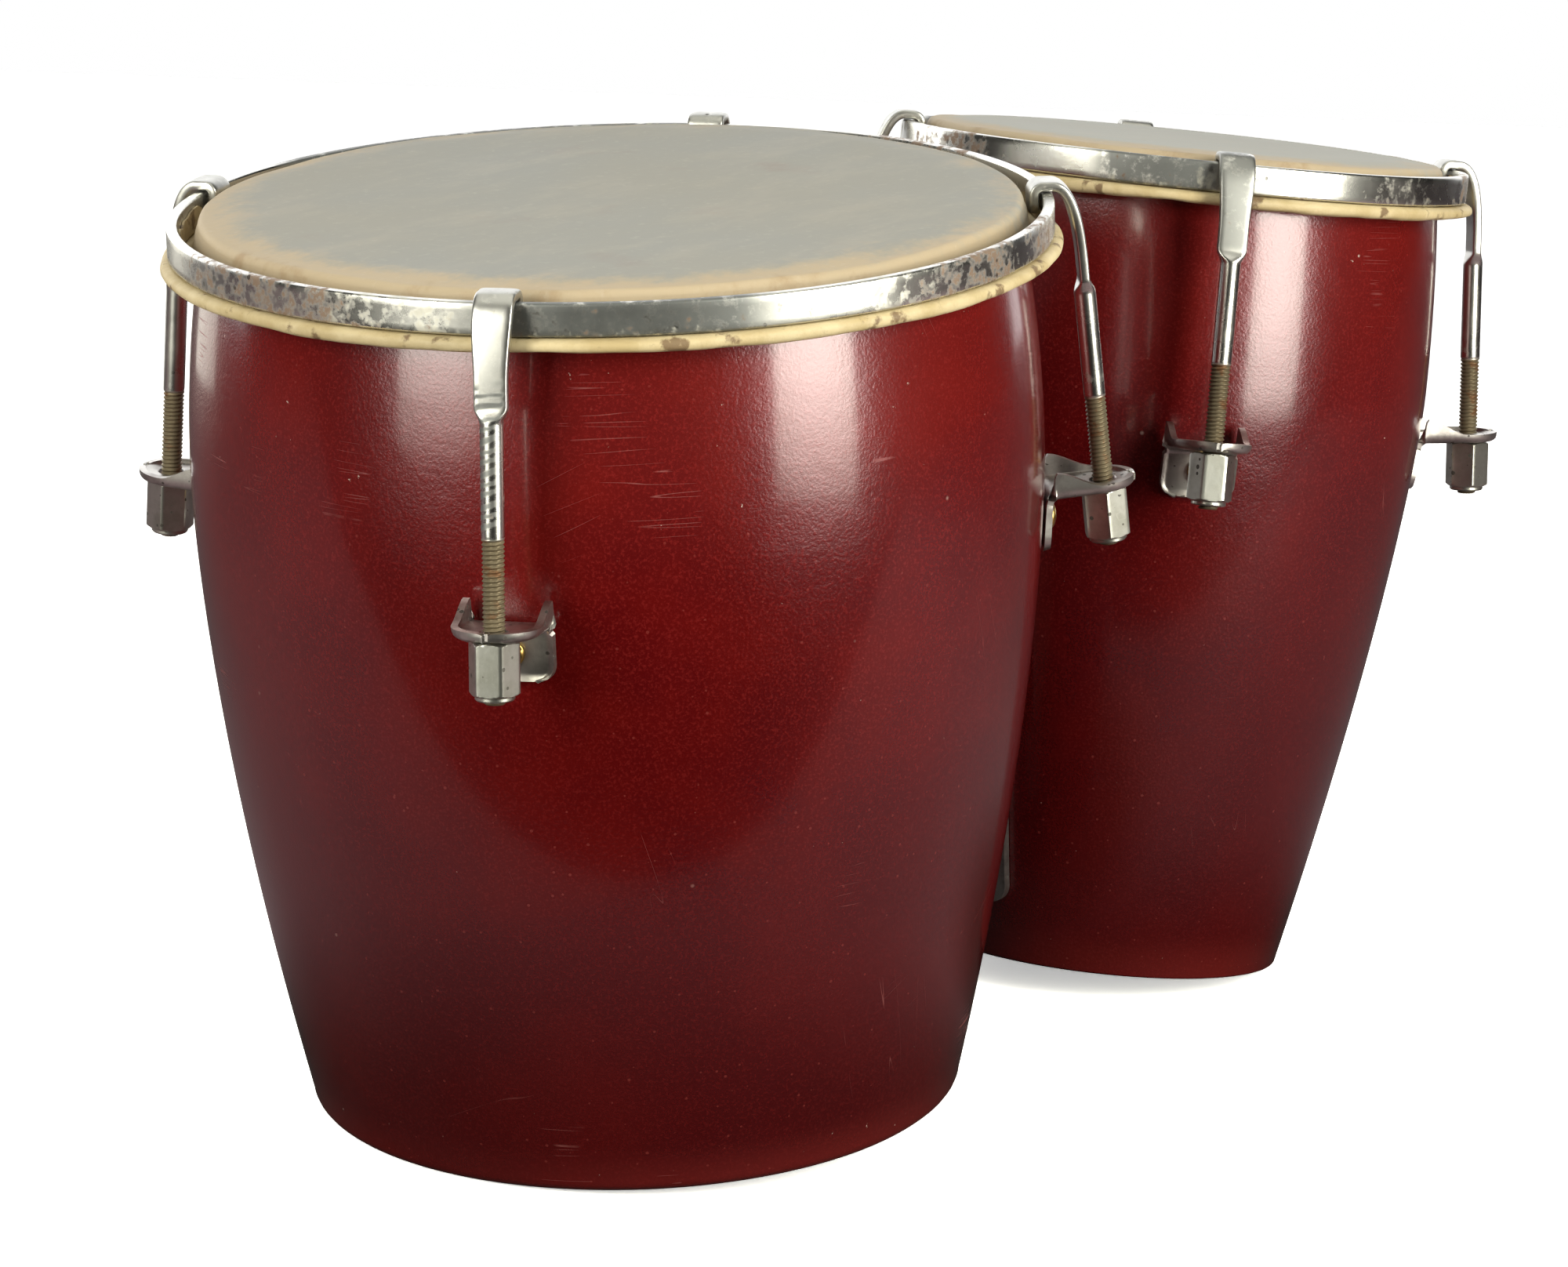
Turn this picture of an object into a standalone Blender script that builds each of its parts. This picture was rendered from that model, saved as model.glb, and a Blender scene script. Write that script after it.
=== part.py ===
# A pair of bongo drums: two tapered, splayed shells joined by a centre block,
# each with a rawhide head pulled down by a counterhoop, four hooks and four nuts.
# Metres, +Z up, standing on the floor, +X from the large drum to the small one.

import math

import bmesh
import bpy
from mathutils import Matrix, Vector

MM = 0.001

# The two shells. A shell is turned: narrow at the base, widest at the belly,
# and slightly drawn in again at the mouth, where the head sits.
LARGE_BASE_RADIUS = 82.9 * MM
LARGE_BELLY_RADIUS = 107.0 * MM
LARGE_MOUTH_RADIUS = 102.7 * MM
LARGE_FLARE_POWER = 1.59
LARGE_EDGE_ROUND = 3.0 * MM
SMALL_BASE_RADIUS = 50.2 * MM
SMALL_BELLY_RADIUS = 75.0 * MM
SMALL_MOUTH_RADIUS = 72.4 * MM
SMALL_FLARE_POWER = 1.42
SMALL_EDGE_ROUND = 1.0 * MM
SHELL_HEIGHT = 229.4 * MM
BELLY_HEIGHT = 165.0 * MM
MOUTH_HEIGHT = 218.0 * MM
LARGE_WALL = 8.0 * MM
SMALL_WALL = 7.0 * MM
BEARING_DROP = 3.0 * MM

# How the drums stand: each leans away from the other, on its outer base edge.
LARGE_SPLAY = 5.17
SMALL_SPLAY = 5.45
BASE_SPACING = 202.2 * MM

# Head: a skin over the mouth, a flesh hoop and a flat counterhoop round it.
SKIN_THICKNESS = 1.4 * MM
HOOP_BELOW_HEAD = 2.1 * MM
HOOP_HEIGHT = 8.0 * MM
HOOP_THICKNESS = 2.8 * MM
FLESH_HEIGHT = 3.6 * MM
FLESH_OVERHANG = 2.0 * MM
SKIRT_IN_FLESH = 3.1 * MM

# Tuning hooks: a flat strap over the counterhoop that becomes a round rod.
STRAP_WIDTH = 9.6 * MM
STRAP_THICKNESS = 2.6 * MM
STRAP_DROP = 23.5 * MM
STRAP_BEND_DROP = 20.0 * MM
STRAP_CORNER = 2.4 * MM
LIP_DEPTH = 5.0 * MM
LIP_CLEARANCE = 0.4 * MM
LIP_TO_HOOP = 0.8 * MM
ROD_RADIUS = 2.743 * MM
ROD_OFF_HOOP = 5.77 * MM
LARGE_ROD_OFF_SHELL = 15.97 * MM
SMALL_ROD_OFF_SHELL = 18.31 * MM
ROD_IN_STRAP = 3.0 * MM
ROD_PAST_NUT = 1.0 * MM
THREAD_PITCH = 1.058 * MM
LARGE_HOOK_ANGLES = (112.3, -152.4, -45.7, 27.6)
SMALL_HOOK_ANGLES = (133.0, -135.0, -40.0, 46.0)

# Long hex nuts under the bracket shelves.
NUT_ACROSS_FLATS = 10.8 * MM
NUT_LENGTH = 12.8 * MM
NUT_BOSS_RADIUS = 4.7 * MM
NUT_BOSS_LENGTH = 1.2 * MM
NUT_RUNNING_CLEARANCE = 0.6 * MM

# Pressed steel brackets: a shelf with raised sides over a plate on the shell.
SHELF_UNDERSIDE = 152.5 * MM
BRACKET_WIDTH = 21.5 * MM
BRACKET_THICKNESS = 1.7 * MM
SHELF_PAST_ROD = 7.5 * MM
PLATE_DROP = 14.5 * MM
PLATE_CORNER = 4.0 * MM
SHELF_CORNER = 6.0 * MM
EAR_HEIGHT = 5.4 * MM
EAR_STOP = 2.0 * MM
EAR_INSET = 0.3 * MM
EAR_OFF_WALL = 2.3 * MM
SHELF_HOLE_CLEARANCE = 0.8 * MM
BRACKET_SCREW_DROP = 7.2 * MM
BRACKET_SCREW_HEAD = 3.4 * MM
BRACKET_SCREW_DOME = 2.0 * MM
BRACKET_SCREW_SHANK = 1.6 * MM
BRACKET_SCREW_BITE = 5.5 * MM

# Centre mounting: a strap on each shell, a block between, two bolts a side.
CENTRE_STRAP_WIDTH = 12.0 * MM
CENTRE_STRAP_THICKNESS = 2.5 * MM
CENTRE_STRAP_LOW = 17.0 * MM
CENTRE_STRAP_HIGH = 126.0 * MM
BLOCK_LOW = 64.0 * MM
BLOCK_HIGH = 116.0 * MM
BLOCK_WIDTH = 26.0 * MM
BOLT_LOW = 78.0 * MM
BOLT_HIGH = 103.0 * MM
BOLT_RADIUS = 2.9 * MM
BOLT_HEAD_RADIUS = 5.5 * MM
BOLT_HEAD_HEIGHT = 3.2 * MM
BOLT_INTO_BLOCK = 14.0 * MM
WASHER_RADIUS = 7.5 * MM
WASHER_THICKNESS = 1.4 * MM

# Clearances.
SEAT_GAP = 0.3 * MM
HOLE_CLEARANCE = 0.35 * MM
FACET_ALLOWANCE = 0.45 * MM

# Sides of the turned pieces, rods and holes.
RING_SIDES = 40
ROD_SIDES = 12
PROFILE_STEPS = 7


def clearScene():
    for old in list(bpy.data.objects):
        bpy.data.objects.remove(old, do_unlink=True)


def makeCollection(name):
    collection = bpy.data.collections.new(name)
    bpy.context.scene.collection.children.link(collection)
    return collection


clearScene()
partCollection = makeCollection("bongo_drums")
cutterCollection = makeCollection("cutters")


def principled(name, colour, roughness, metallic):
    material = bpy.data.materials.new(name)
    material.use_nodes = True
    shader = material.node_tree.nodes["Principled BSDF"]
    shader.inputs["Base Color"].default_value = (*colour, 1.0)
    shader.inputs["Roughness"].default_value = roughness
    shader.inputs["Metallic"].default_value = metallic
    material.diffuse_color = (*colour, 1.0)
    return material


MATERIALS = {
    "lacquer": principled("burgundy_lacquer", (0.16, 0.008, 0.012), 0.18, 0.0),
    "rawhide": principled("rawhide", (0.42, 0.37, 0.30), 0.65, 0.0),
    "flesh": principled("flesh_hoop_hide", (0.50, 0.36, 0.20), 0.60, 0.0),
    "chrome": principled("worn_chrome", (0.55, 0.54, 0.52), 0.25, 1.0),
    "nickel": principled("worn_nickel", (0.42, 0.41, 0.38), 0.38, 1.0),
    "steel": principled("pressed_steel", (0.30, 0.28, 0.26), 0.42, 1.0),
    "brass": principled("brass", (0.70, 0.50, 0.20), 0.30, 1.0),
    "centre": principled("centre_block_wood", (0.07, 0.02, 0.015), 0.40, 0.0),
}


def placeObject(name, mesh, material, parent, location=(0, 0, 0), rotation=(0, 0, 0)):
    piece = bpy.data.objects.new(name, mesh)
    partCollection.objects.link(piece)
    piece.parent = parent
    piece.location = location
    piece.rotation_euler = rotation
    if material and not mesh.materials:
        mesh.materials.append(MATERIALS[material])
    return piece


def placeEmpty(name, parent, location=(0, 0, 0), rotation=(0, 0, 0)):
    empty = bpy.data.objects.new(name, None)
    partCollection.objects.link(empty)
    empty.parent = parent
    empty.location = location
    empty.rotation_euler = rotation
    return empty


def hiddenObject(name, mesh, parent=None):
    helper = bpy.data.objects.new(name, mesh)
    cutterCollection.objects.link(helper)
    helper.hide_render = True
    helper.display_type = "WIRE"
    helper.parent = parent
    return helper


def addBoolean(piece, other, operation):
    boolean = piece.modifiers.new(operation.lower() + "_" + other.name, "BOOLEAN")
    boolean.operation = operation
    boolean.solver = "EXACT"
    boolean.object = other


def bakedMesh(piece, name):
    # The evaluated mesh of a piece, for the copies that share it.
    depsgraph = bpy.context.evaluated_depsgraph_get()
    depsgraph.update()
    mesh = bpy.data.meshes.new_from_object(piece.evaluated_get(depsgraph))
    mesh.name = name
    shadeByAngle(mesh)
    return mesh


def shadeByAngle(mesh):
    mesh.shade_smooth()
    mesh.set_sharp_from_angle(angle=math.radians(35))


def latheMesh(name, profile, closed):
    # The profile is (radius, height) points, running down the outer side.
    mesh = bpy.data.meshes.new(name)
    points = [(radius, 0.0, height) for radius, height in profile]
    edges = [(i, i + 1) for i in range(len(points) - 1)]
    if closed:
        edges.append((len(points) - 1, 0))
    mesh.from_pydata(points, edges, [])
    return mesh


def addScrew(piece, sides):
    screw = piece.modifiers.new("turned", "SCREW")
    screw.axis = "Z"
    screw.angle = math.tau
    screw.screw_offset = 0.0
    screw.steps = sides
    screw.render_steps = sides
    screw.use_merge_vertices = True
    screw.merge_threshold = 0.00001
    screw.use_smooth_shade = True


def turnedPiece(name, profile, material, parent, closed=True):
    piece = placeObject(name, latheMesh(name, profile, closed), material, parent)
    addScrew(piece, RING_SIDES)
    return piece


def extrudedMesh(name, outline, width):
    # A flat outline of (x, z) points, made width thick across Y.
    curve = bpy.data.curves.new(name, "CURVE")
    curve.dimensions = "2D"
    curve.fill_mode = "BOTH"
    curve.extrude = width / 2
    spline = curve.splines.new("POLY")
    spline.points.add(len(outline) - 1)
    for point, (x, z) in zip(spline.points, outline):
        point.co = (x, z, 0.0, 1.0)
    spline.use_cyclic_u = True
    flat = bpy.data.objects.new(name, curve)
    cutterCollection.objects.link(flat)
    mesh = bakedMesh(flat, name)
    bpy.data.objects.remove(flat, do_unlink=True)
    mesh.transform(Matrix.Rotation(math.pi / 2, 4, "X"))
    working = bmesh.new()
    working.from_mesh(mesh)
    bmesh.ops.remove_doubles(working, verts=working.verts, dist=0.000001)
    bmesh.ops.recalc_face_normals(working, faces=working.faces)
    working.to_mesh(mesh)
    working.free()
    return mesh


def bevelEdges(mesh, wanted, width, segments):
    # Rounds the edges for which wanted(midpoint, direction) is true.
    working = bmesh.new()
    working.from_mesh(mesh)
    chosen = []
    for edge in working.edges:
        first, second = edge.verts
        if wanted((first.co + second.co) / 2, (second.co - first.co).normalized()):
            chosen.append(edge)
    bmesh.ops.bevel(working, geom=chosen, offset=width, segments=segments, profile=0.5, affect="EDGES")
    working.to_mesh(mesh)
    working.free()


def addCylinder(working, radius, start, end, sides=ROD_SIDES):
    axis = end - start
    turn = Vector((0, 0, 1)).rotation_difference(axis).to_matrix().to_4x4()
    matrix = Matrix.Translation((start + end) / 2) @ turn
    bmesh.ops.create_cone(
        working,
        cap_ends=True,
        segments=sides,
        radius1=radius,
        radius2=radius,
        depth=axis.length,
        matrix=matrix,
    )


def cylinderMesh(name, rods, sides=ROD_SIDES):
    # Each rod is (radius, start, end).
    working = bmesh.new()
    for radius, start, end in rods:
        addCylinder(working, radius, start, end, sides)
    mesh = bpy.data.meshes.new(name)
    working.to_mesh(mesh)
    working.free()
    return mesh


def inPlane(radius, height):
    return Vector((radius, 0.0, height))


class Drum:
    # The sizes of one drum that its pieces share, in its own frame: +Z up its axis.

    def __init__(self, name, base, belly, mouth, power, edgeRound, wall, rodOffShell, angles):
        self.name = name
        self.base = base
        self.belly = belly
        self.mouth = mouth
        self.power = power
        self.edgeRound = edgeRound
        self.wall = wall
        self.angles = [math.radians(angle) for angle in angles]
        self.headTop = SHELL_HEIGHT + SEAT_GAP + SKIN_THICKNESS
        self.hoopTop = self.headTop - HOOP_BELOW_HEAD
        self.hoopLow = self.hoopTop - HOOP_HEIGHT
        self.fleshTop = self.hoopLow - SEAT_GAP
        self.fleshLow = self.fleshTop - FLESH_HEIGHT
        self.skirtLow = self.fleshTop - SKIRT_IN_FLESH
        self.lipLow = self.hoopTop - LIP_DEPTH
        skinAtLip = self.skinOuter(self.lipLow)
        self.lipMiddle = skinAtLip + LIP_CLEARANCE + STRAP_THICKNESS / 2
        self.hoopInner = self.lipMiddle + STRAP_THICKNESS / 2 + LIP_TO_HOOP
        self.hoopOuter = self.hoopInner + HOOP_THICKNESS
        self.fleshInner = self.skinOuter(self.skirtLow) + SEAT_GAP
        self.fleshOuter = self.hoopOuter + FLESH_OVERHANG
        self.strapTop = self.hoopTop + SEAT_GAP + STRAP_THICKNESS / 2
        # The rods run straight from beside the counterhoop to a set distance off the shell at the shelves.
        self.rodAtShelf = self.outer(SHELF_UNDERSIDE) + rodOffShell
        rodInwards = self.rodAtShelf - (self.hoopOuter + ROD_OFF_HOOP)
        self.rodLean = math.atan2(rodInwards, self.strapTop - SHELF_UNDERSIDE)

    def outer(self, height):
        # Below the belly the radius falls as a power of the distance to it; above, as its square.
        if height < BELLY_HEIGHT:
            share = (BELLY_HEIGHT - height) / BELLY_HEIGHT
            return self.belly - (self.belly - self.base) * share ** self.power
        share = (height - BELLY_HEIGHT) / (MOUTH_HEIGHT - BELLY_HEIGHT)
        return self.belly - (self.belly - self.mouth) * share ** 2

    def slope(self, height):
        step = 0.5 * MM
        return (self.outer(height + step) - self.outer(height - step)) / (2 * step)

    def skinOuter(self, height):
        return self.outer(height) + SEAT_GAP + SKIN_THICKNESS

    def wallNormal(self, height):
        return inPlane(1.0, -self.slope(height)).normalized()

    def wallUp(self, height):
        return inPlane(self.slope(height), 1.0).normalized()

    def rodUp(self):
        return inPlane(-math.sin(self.rodLean), math.cos(self.rodLean))

    def rodOut(self):
        return inPlane(math.cos(self.rodLean), math.sin(self.rodLean))

    def shelfPoint(self):
        # Where the rod's axis meets the shelf's underside.
        return inPlane(self.rodAtShelf, SHELF_UNDERSIDE)

    def rodPoint(self, height):
        up = self.rodUp()
        return self.shelfPoint() + up * ((height - SHELF_UNDERSIDE) / up.z)

    def screwPoint(self):
        # On the bracket plate's outer face, at the screw.
        height = SHELF_UNDERSIDE - BRACKET_SCREW_DROP
        out = self.wallNormal(height)
        return inPlane(self.outer(height), height) + out * (SEAT_GAP + BRACKET_THICKNESS)


large = Drum(
    "large",
    LARGE_BASE_RADIUS,
    LARGE_BELLY_RADIUS,
    LARGE_MOUTH_RADIUS,
    LARGE_FLARE_POWER,
    LARGE_EDGE_ROUND,
    LARGE_WALL,
    LARGE_ROD_OFF_SHELL,
    LARGE_HOOK_ANGLES,
)
small = Drum(
    "small",
    SMALL_BASE_RADIUS,
    SMALL_BELLY_RADIUS,
    SMALL_MOUTH_RADIUS,
    SMALL_FLARE_POWER,
    SMALL_EDGE_ROUND,
    SMALL_WALL,
    SMALL_ROD_OFF_SHELL,
    SMALL_HOOK_ANGLES,
)


def evenly(first, last, count):
    return [first + (last - first) * i / (count - 1) for i in range(count)]


def shellProfile(drum):
    # Down the outside, round the base edge, and up the inside to the bearing edge.
    shoulder = SHELL_HEIGHT - BEARING_DROP
    third = drum.wall / 3
    points = [(drum.outer(SHELL_HEIGHT) - third, SHELL_HEIGHT)]
    for height in evenly(shoulder, BELLY_HEIGHT, 4):
        points.append((drum.outer(height), height))
    for height in evenly(BELLY_HEIGHT, drum.edgeRound, PROFILE_STEPS + 1)[1:]:
        points.append((drum.outer(height), height))
    points.append((drum.base - drum.edgeRound, 0.0))
    points.append((drum.base - drum.wall, 0.0))
    for height in evenly(drum.edgeRound, BELLY_HEIGHT, PROFILE_STEPS - 1):
        points.append((drum.outer(height) - drum.wall, height))
    points.append((drum.outer(shoulder) - drum.wall, shoulder))
    points.append((drum.outer(SHELL_HEIGHT) - 2 * third, SHELL_HEIGHT))
    return points


def shellHoles(drum, frame, centreAngle):
    # Pilot holes for the bracket screws and clear holes for the centre bolts.
    rods = []
    for angle in drum.angles:
        turn = Matrix.Rotation(angle, 3, "Z")
        height = SHELF_UNDERSIDE - BRACKET_SCREW_DROP
        out = drum.wallNormal(height)
        seat = drum.screwPoint()
        start = seat - out * (BRACKET_THICKNESS + BRACKET_SCREW_BITE + 3 * SEAT_GAP)
        radius = BRACKET_SCREW_SHANK + HOLE_CLEARANCE
        rods.append((radius, turn @ start, turn @ (seat + out * BRACKET_THICKNESS)))
    turn = Matrix.Rotation(centreAngle, 3, "Z")
    for height in (BOLT_LOW, BOLT_HIGH):
        out = drum.wallNormal(height)
        middle = inPlane(drum.outer(height), height)
        reach = 2 * drum.wall
        radius = BOLT_RADIUS + HOLE_CLEARANCE
        rods.append((radius, turn @ (middle - out * reach), turn @ (middle + out * reach)))
    return hiddenObject(drum.name + "_shell_holes", cylinderMesh(drum.name + "_holes", rods), frame)


def skinProfile(drum):
    # A closed cap over the mouth, turned down outside the shell as a skirt.
    shoulder = SHELL_HEIGHT - BEARING_DROP
    edge = drum.skinOuter(SHELL_HEIGHT)
    points = [(0.0, drum.headTop), (edge - 1.2 * SKIN_THICKNESS, drum.headTop)]
    points.append((edge - 0.2 * SKIN_THICKNESS, drum.headTop - 0.5 * SKIN_THICKNESS))
    points.append((drum.skinOuter(shoulder), shoulder))
    points.append((drum.skinOuter(drum.skirtLow), drum.skirtLow))
    points.append((drum.outer(drum.skirtLow) + SEAT_GAP, drum.skirtLow))
    points.append((drum.outer(shoulder) + SEAT_GAP, shoulder))
    points.append((drum.outer(SHELL_HEIGHT) + SEAT_GAP - 0.2 * SKIN_THICKNESS, SHELL_HEIGHT + SEAT_GAP))
    points.append((0.0, SHELL_HEIGHT + SEAT_GAP))
    return points


def fleshProfile(drum):
    # A hide-wrapped ring: a rectangle with rounded outer corners.
    corner = FLESH_HEIGHT / 3
    return [
        (drum.fleshInner, drum.fleshTop),
        (drum.fleshOuter - corner, drum.fleshTop),
        (drum.fleshOuter, drum.fleshTop - corner),
        (drum.fleshOuter, drum.fleshLow + corner),
        (drum.fleshOuter - corner, drum.fleshLow),
        (drum.fleshInner, drum.fleshLow),
    ]


def hoopProfile(drum):
    corner = HOOP_THICKNESS / 5
    return [
        (drum.hoopInner, drum.hoopTop),
        (drum.hoopOuter - corner, drum.hoopTop),
        (drum.hoopOuter, drum.hoopTop - corner),
        (drum.hoopOuter, drum.hoopLow + corner),
        (drum.hoopOuter - corner, drum.hoopLow),
        (drum.hoopInner, drum.hoopLow),
    ]


def strapPath(drum):
    # The strap's middle line: up the lip, over the hoop, and down to the rod's line.
    bend = STRAP_THICKNESS / 2 + LIP_TO_HOOP
    points = [inPlane(drum.lipMiddle, drum.lipLow)]
    for turn in evenly(0.0, math.pi / 2, 4):
        x = drum.lipMiddle + bend * (1 - math.cos(turn))
        points.append(inPlane(x, drum.strapTop - bend * (1 - math.sin(turn))))
    start = inPlane(drum.hoopOuter - SEAT_GAP, drum.strapTop)
    corner = drum.rodPoint(drum.strapTop)
    end = drum.rodPoint(drum.strapTop - STRAP_BEND_DROP)
    for share in evenly(0.0, 1.0, 7):
        first = start.lerp(corner, share)
        points.append(first.lerp(corner.lerp(end, share), share))
    points.append(drum.rodPoint(drum.strapTop - STRAP_DROP))
    return points


def thickened(path, thickness):
    # The outline that runs half the thickness off both sides of an open path.
    left = []
    right = []
    for i, point in enumerate(path):
        before = path[max(i - 1, 0)]
        after = path[min(i + 1, len(path) - 1)]
        along = (after - before).normalized()
        side = inPlane(-along.z, along.x) * (thickness / 2)
        left.append(point + side)
        right.append(point - side)
    return [(p.x, p.z) for p in left + right[::-1]]


def hookMesh(drum):
    path = strapPath(drum)
    mesh = extrudedMesh(drum.name + "_strap", thickened(path, STRAP_THICKNESS), STRAP_WIDTH)
    low = drum.strapTop - STRAP_DROP + STRAP_THICKNESS

    def lowerCorner(middle, along):
        return middle.z < low and abs(middle.y) > 0.49 * STRAP_WIDTH and abs(along.x) > 0.9

    bevelEdges(mesh, lowerCorner, STRAP_CORNER, 2)
    strap = hiddenObject(drum.name + "_strap_blank", mesh)
    top = drum.rodPoint(drum.strapTop - STRAP_DROP + ROD_IN_STRAP)
    bottom = drum.shelfPoint() - drum.rodUp() * (SEAT_GAP + NUT_LENGTH + NUT_BOSS_LENGTH + ROD_PAST_NUT)
    rod = hiddenObject(drum.name + "_rod_blank", cylinderMesh(drum.name + "_rod", [(ROD_RADIUS, bottom, top)]))
    addBoolean(strap, rod, "UNION")
    mesh = bakedMesh(strap, drum.name + "_hook")
    bpy.data.objects.remove(rod, do_unlink=True)
    bpy.data.objects.remove(strap, do_unlink=True)
    return mesh


def nutMesh():
    # A hexagon with a round boss under it and a running bore; the origin is at its top.
    hexRadius = NUT_ACROSS_FLATS / 2 / math.cos(math.pi / 6)
    low = -NUT_LENGTH
    boss = low - NUT_BOSS_LENGTH
    body = hiddenObject("nut_blank", cylinderMesh("nut_hex", [(hexRadius, Vector((0, 0, low)), Vector())], 6))
    bossRod = (NUT_BOSS_RADIUS, Vector((0, 0, boss)), Vector((0, 0, low / 2)))
    bossBlank = hiddenObject("nut_boss_blank", cylinderMesh("nut_boss", [bossRod]))
    reach = Vector((0, 0, NUT_LENGTH))
    boreRod = (ROD_RADIUS + NUT_RUNNING_CLEARANCE, -2 * reach, reach)
    bore = hiddenObject("nut_bore", cylinderMesh("nut_bore", [boreRod]))
    addBoolean(body, bossBlank, "UNION")
    addBoolean(body, bore, "DIFFERENCE")
    mesh = bakedMesh(body, "tuning_nut")
    for helper in (body, bossBlank, bore):
        bpy.data.objects.remove(helper, do_unlink=True)
    return mesh


def meet(point, along, other, otherAlong):
    # Where two lines in the radial plane cross.
    across = inPlane(-otherAlong.z, otherAlong.x)
    share = (other - point).dot(across) / along.dot(across)
    return point + along * share


def bracketMesh(drum):
    height = SHELF_UNDERSIDE - BRACKET_SCREW_DROP
    out = drum.wallNormal(height)
    up = drum.wallUp(height)
    back = inPlane(drum.outer(height), height) + out * SEAT_GAP
    face = back + out * BRACKET_THICKNESS
    rodUp = drum.rodUp()
    rodOut = drum.rodOut()
    under = drum.shelfPoint()
    over = under + rodUp * BRACKET_THICKNESS
    inner = meet(under, rodOut, face, up)
    corner = meet(over, rodOut, back, up)
    foot = back - up * (PLATE_DROP - BRACKET_SCREW_DROP)
    front = under + rodOut * SHELF_PAST_ROD
    bend = BRACKET_THICKNESS
    outline = [
        foot,
        foot + out * BRACKET_THICKNESS,
        inner,
        front,
        front + rodUp * BRACKET_THICKNESS,
        corner + rodOut * bend,
        corner + rodOut * bend * 0.3 - up * bend * 0.3,
        corner - up * bend,
    ]
    mesh = extrudedMesh(drum.name + "_bracket_blank", [(p.x, p.z) for p in outline], BRACKET_WIDTH)

    def plateCorner(middle, along):
        return middle.z < foot.z + BRACKET_THICKNESS and abs(along.x) > 0.9

    def shelfCorner(middle, along):
        return middle.x > front.x - BRACKET_THICKNESS and abs(along.z) > 0.9

    bevelEdges(mesh, plateCorner, PLATE_CORNER, 2)
    bevelEdges(mesh, shelfCorner, SHELF_CORNER, 2)
    bracket = hiddenObject(drum.name + "_bracket_blank", mesh)

    earFoot = meet(under + rodUp * BRACKET_THICKNESS / 2, rodOut, back, up)
    earBack = earFoot + rodOut * EAR_OFF_WALL
    earTop = earBack + up * (EAR_HEIGHT + BRACKET_THICKNESS / 2)
    earStop = front - rodOut * (SHELF_CORNER + EAR_STOP) + rodUp * BRACKET_THICKNESS / 2
    ear = [earBack, earStop, earStop + rodUp * BRACKET_THICKNESS, earTop + rodOut * EAR_HEIGHT, earTop]
    helpers = []
    for side in (-1, 1):
        earMesh = extrudedMesh(drum.name + "_ear", [(p.x, p.z) for p in ear], BRACKET_THICKNESS)
        inset = (BRACKET_WIDTH - BRACKET_THICKNESS - EAR_INSET) / 2
        earMesh.transform(Matrix.Translation((0, side * inset, 0)))
        helpers.append(hiddenObject(drum.name + "_ear_blank", earMesh))
        addBoolean(bracket, helpers[-1], "UNION")
    seat = drum.screwPoint()
    holes = [
        (ROD_RADIUS + SHELF_HOLE_CLEARANCE, under - rodUp * 2 * bend, under + rodUp * 3 * bend),
        (BRACKET_SCREW_SHANK + HOLE_CLEARANCE, seat - out * 2 * bend, seat + out * bend),
    ]
    helpers.append(hiddenObject(drum.name + "_bracket_holes", cylinderMesh(drum.name + "_bracket_holes", holes)))
    addBoolean(bracket, helpers[-1], "DIFFERENCE")
    mesh = bakedMesh(bracket, drum.name + "_bracket")
    for helper in helpers + [bracket]:
        bpy.data.objects.remove(helper, do_unlink=True)
    return mesh


def domeProfile(headRadius, dome, shank, bite):
    # A dome on top, then the shank down to its tip; the head's underside is at height zero.
    rim = 0.35 * dome
    points = [(0.0, dome)]
    for turn in evenly(math.pi / 8, math.pi / 2, 3):
        points.append((headRadius * math.sin(turn), rim + (dome - rim) * math.cos(turn)))
    points.append((headRadius, 0.0))
    points.append((shank, 0.0))
    points.append((shank, -bite))
    points.append((0.0, -bite))
    return points


def domeHeadMesh(name, profile):
    blank = hiddenObject(name + "_blank", latheMesh(name, profile, False))
    addScrew(blank, ROD_SIDES)
    mesh = bakedMesh(blank, name)
    bpy.data.objects.remove(blank, do_unlink=True)
    return mesh


def aimedAlong(direction, angle):
    # The rotation that turns +Z to a direction in the radial plane at that angle.
    tilt = math.atan2(direction.x, direction.z)
    return (0.0, tilt, angle)


def buildHead(drum, frame):
    turnedPiece(drum.name + "_skin", skinProfile(drum), "rawhide", frame, closed=False)
    rim = placeEmpty(drum.name + "_rim", frame)
    turnedPiece(drum.name + "_flesh_hoop", fleshProfile(drum), "flesh", rim)
    turnedPiece(drum.name + "_counterhoop", hoopProfile(drum), "chrome", rim)
    hook = hookMesh(drum)
    for number, angle in enumerate(drum.angles, 1):
        placeObject(f"{drum.name}_hook_{number}", hook, "chrome", rim, rotation=(0, 0, angle))


def buildTuning(drum, frame, nut, screw):
    bracket = bracketMesh(drum)
    nutTop = drum.shelfPoint() - drum.rodUp() * SEAT_GAP
    height = SHELF_UNDERSIDE - BRACKET_SCREW_DROP
    out = drum.wallNormal(height)
    screwSeat = drum.screwPoint() + out * SEAT_GAP
    for number, angle in enumerate(drum.angles, 1):
        turn = Matrix.Rotation(angle, 3, "Z")
        placeObject(f"{drum.name}_bracket_{number}", bracket, "steel", frame, rotation=(0, 0, angle))
        placeObject(
            f"{drum.name}_nut_{number}", nut, "nickel", frame, turn @ nutTop, aimedAlong(drum.rodUp(), angle)
        )
        placeObject(
            f"{drum.name}_bracket_screw_{number}", screw, "brass", frame, turn @ screwSeat, aimedAlong(out, angle)
        )


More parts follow.
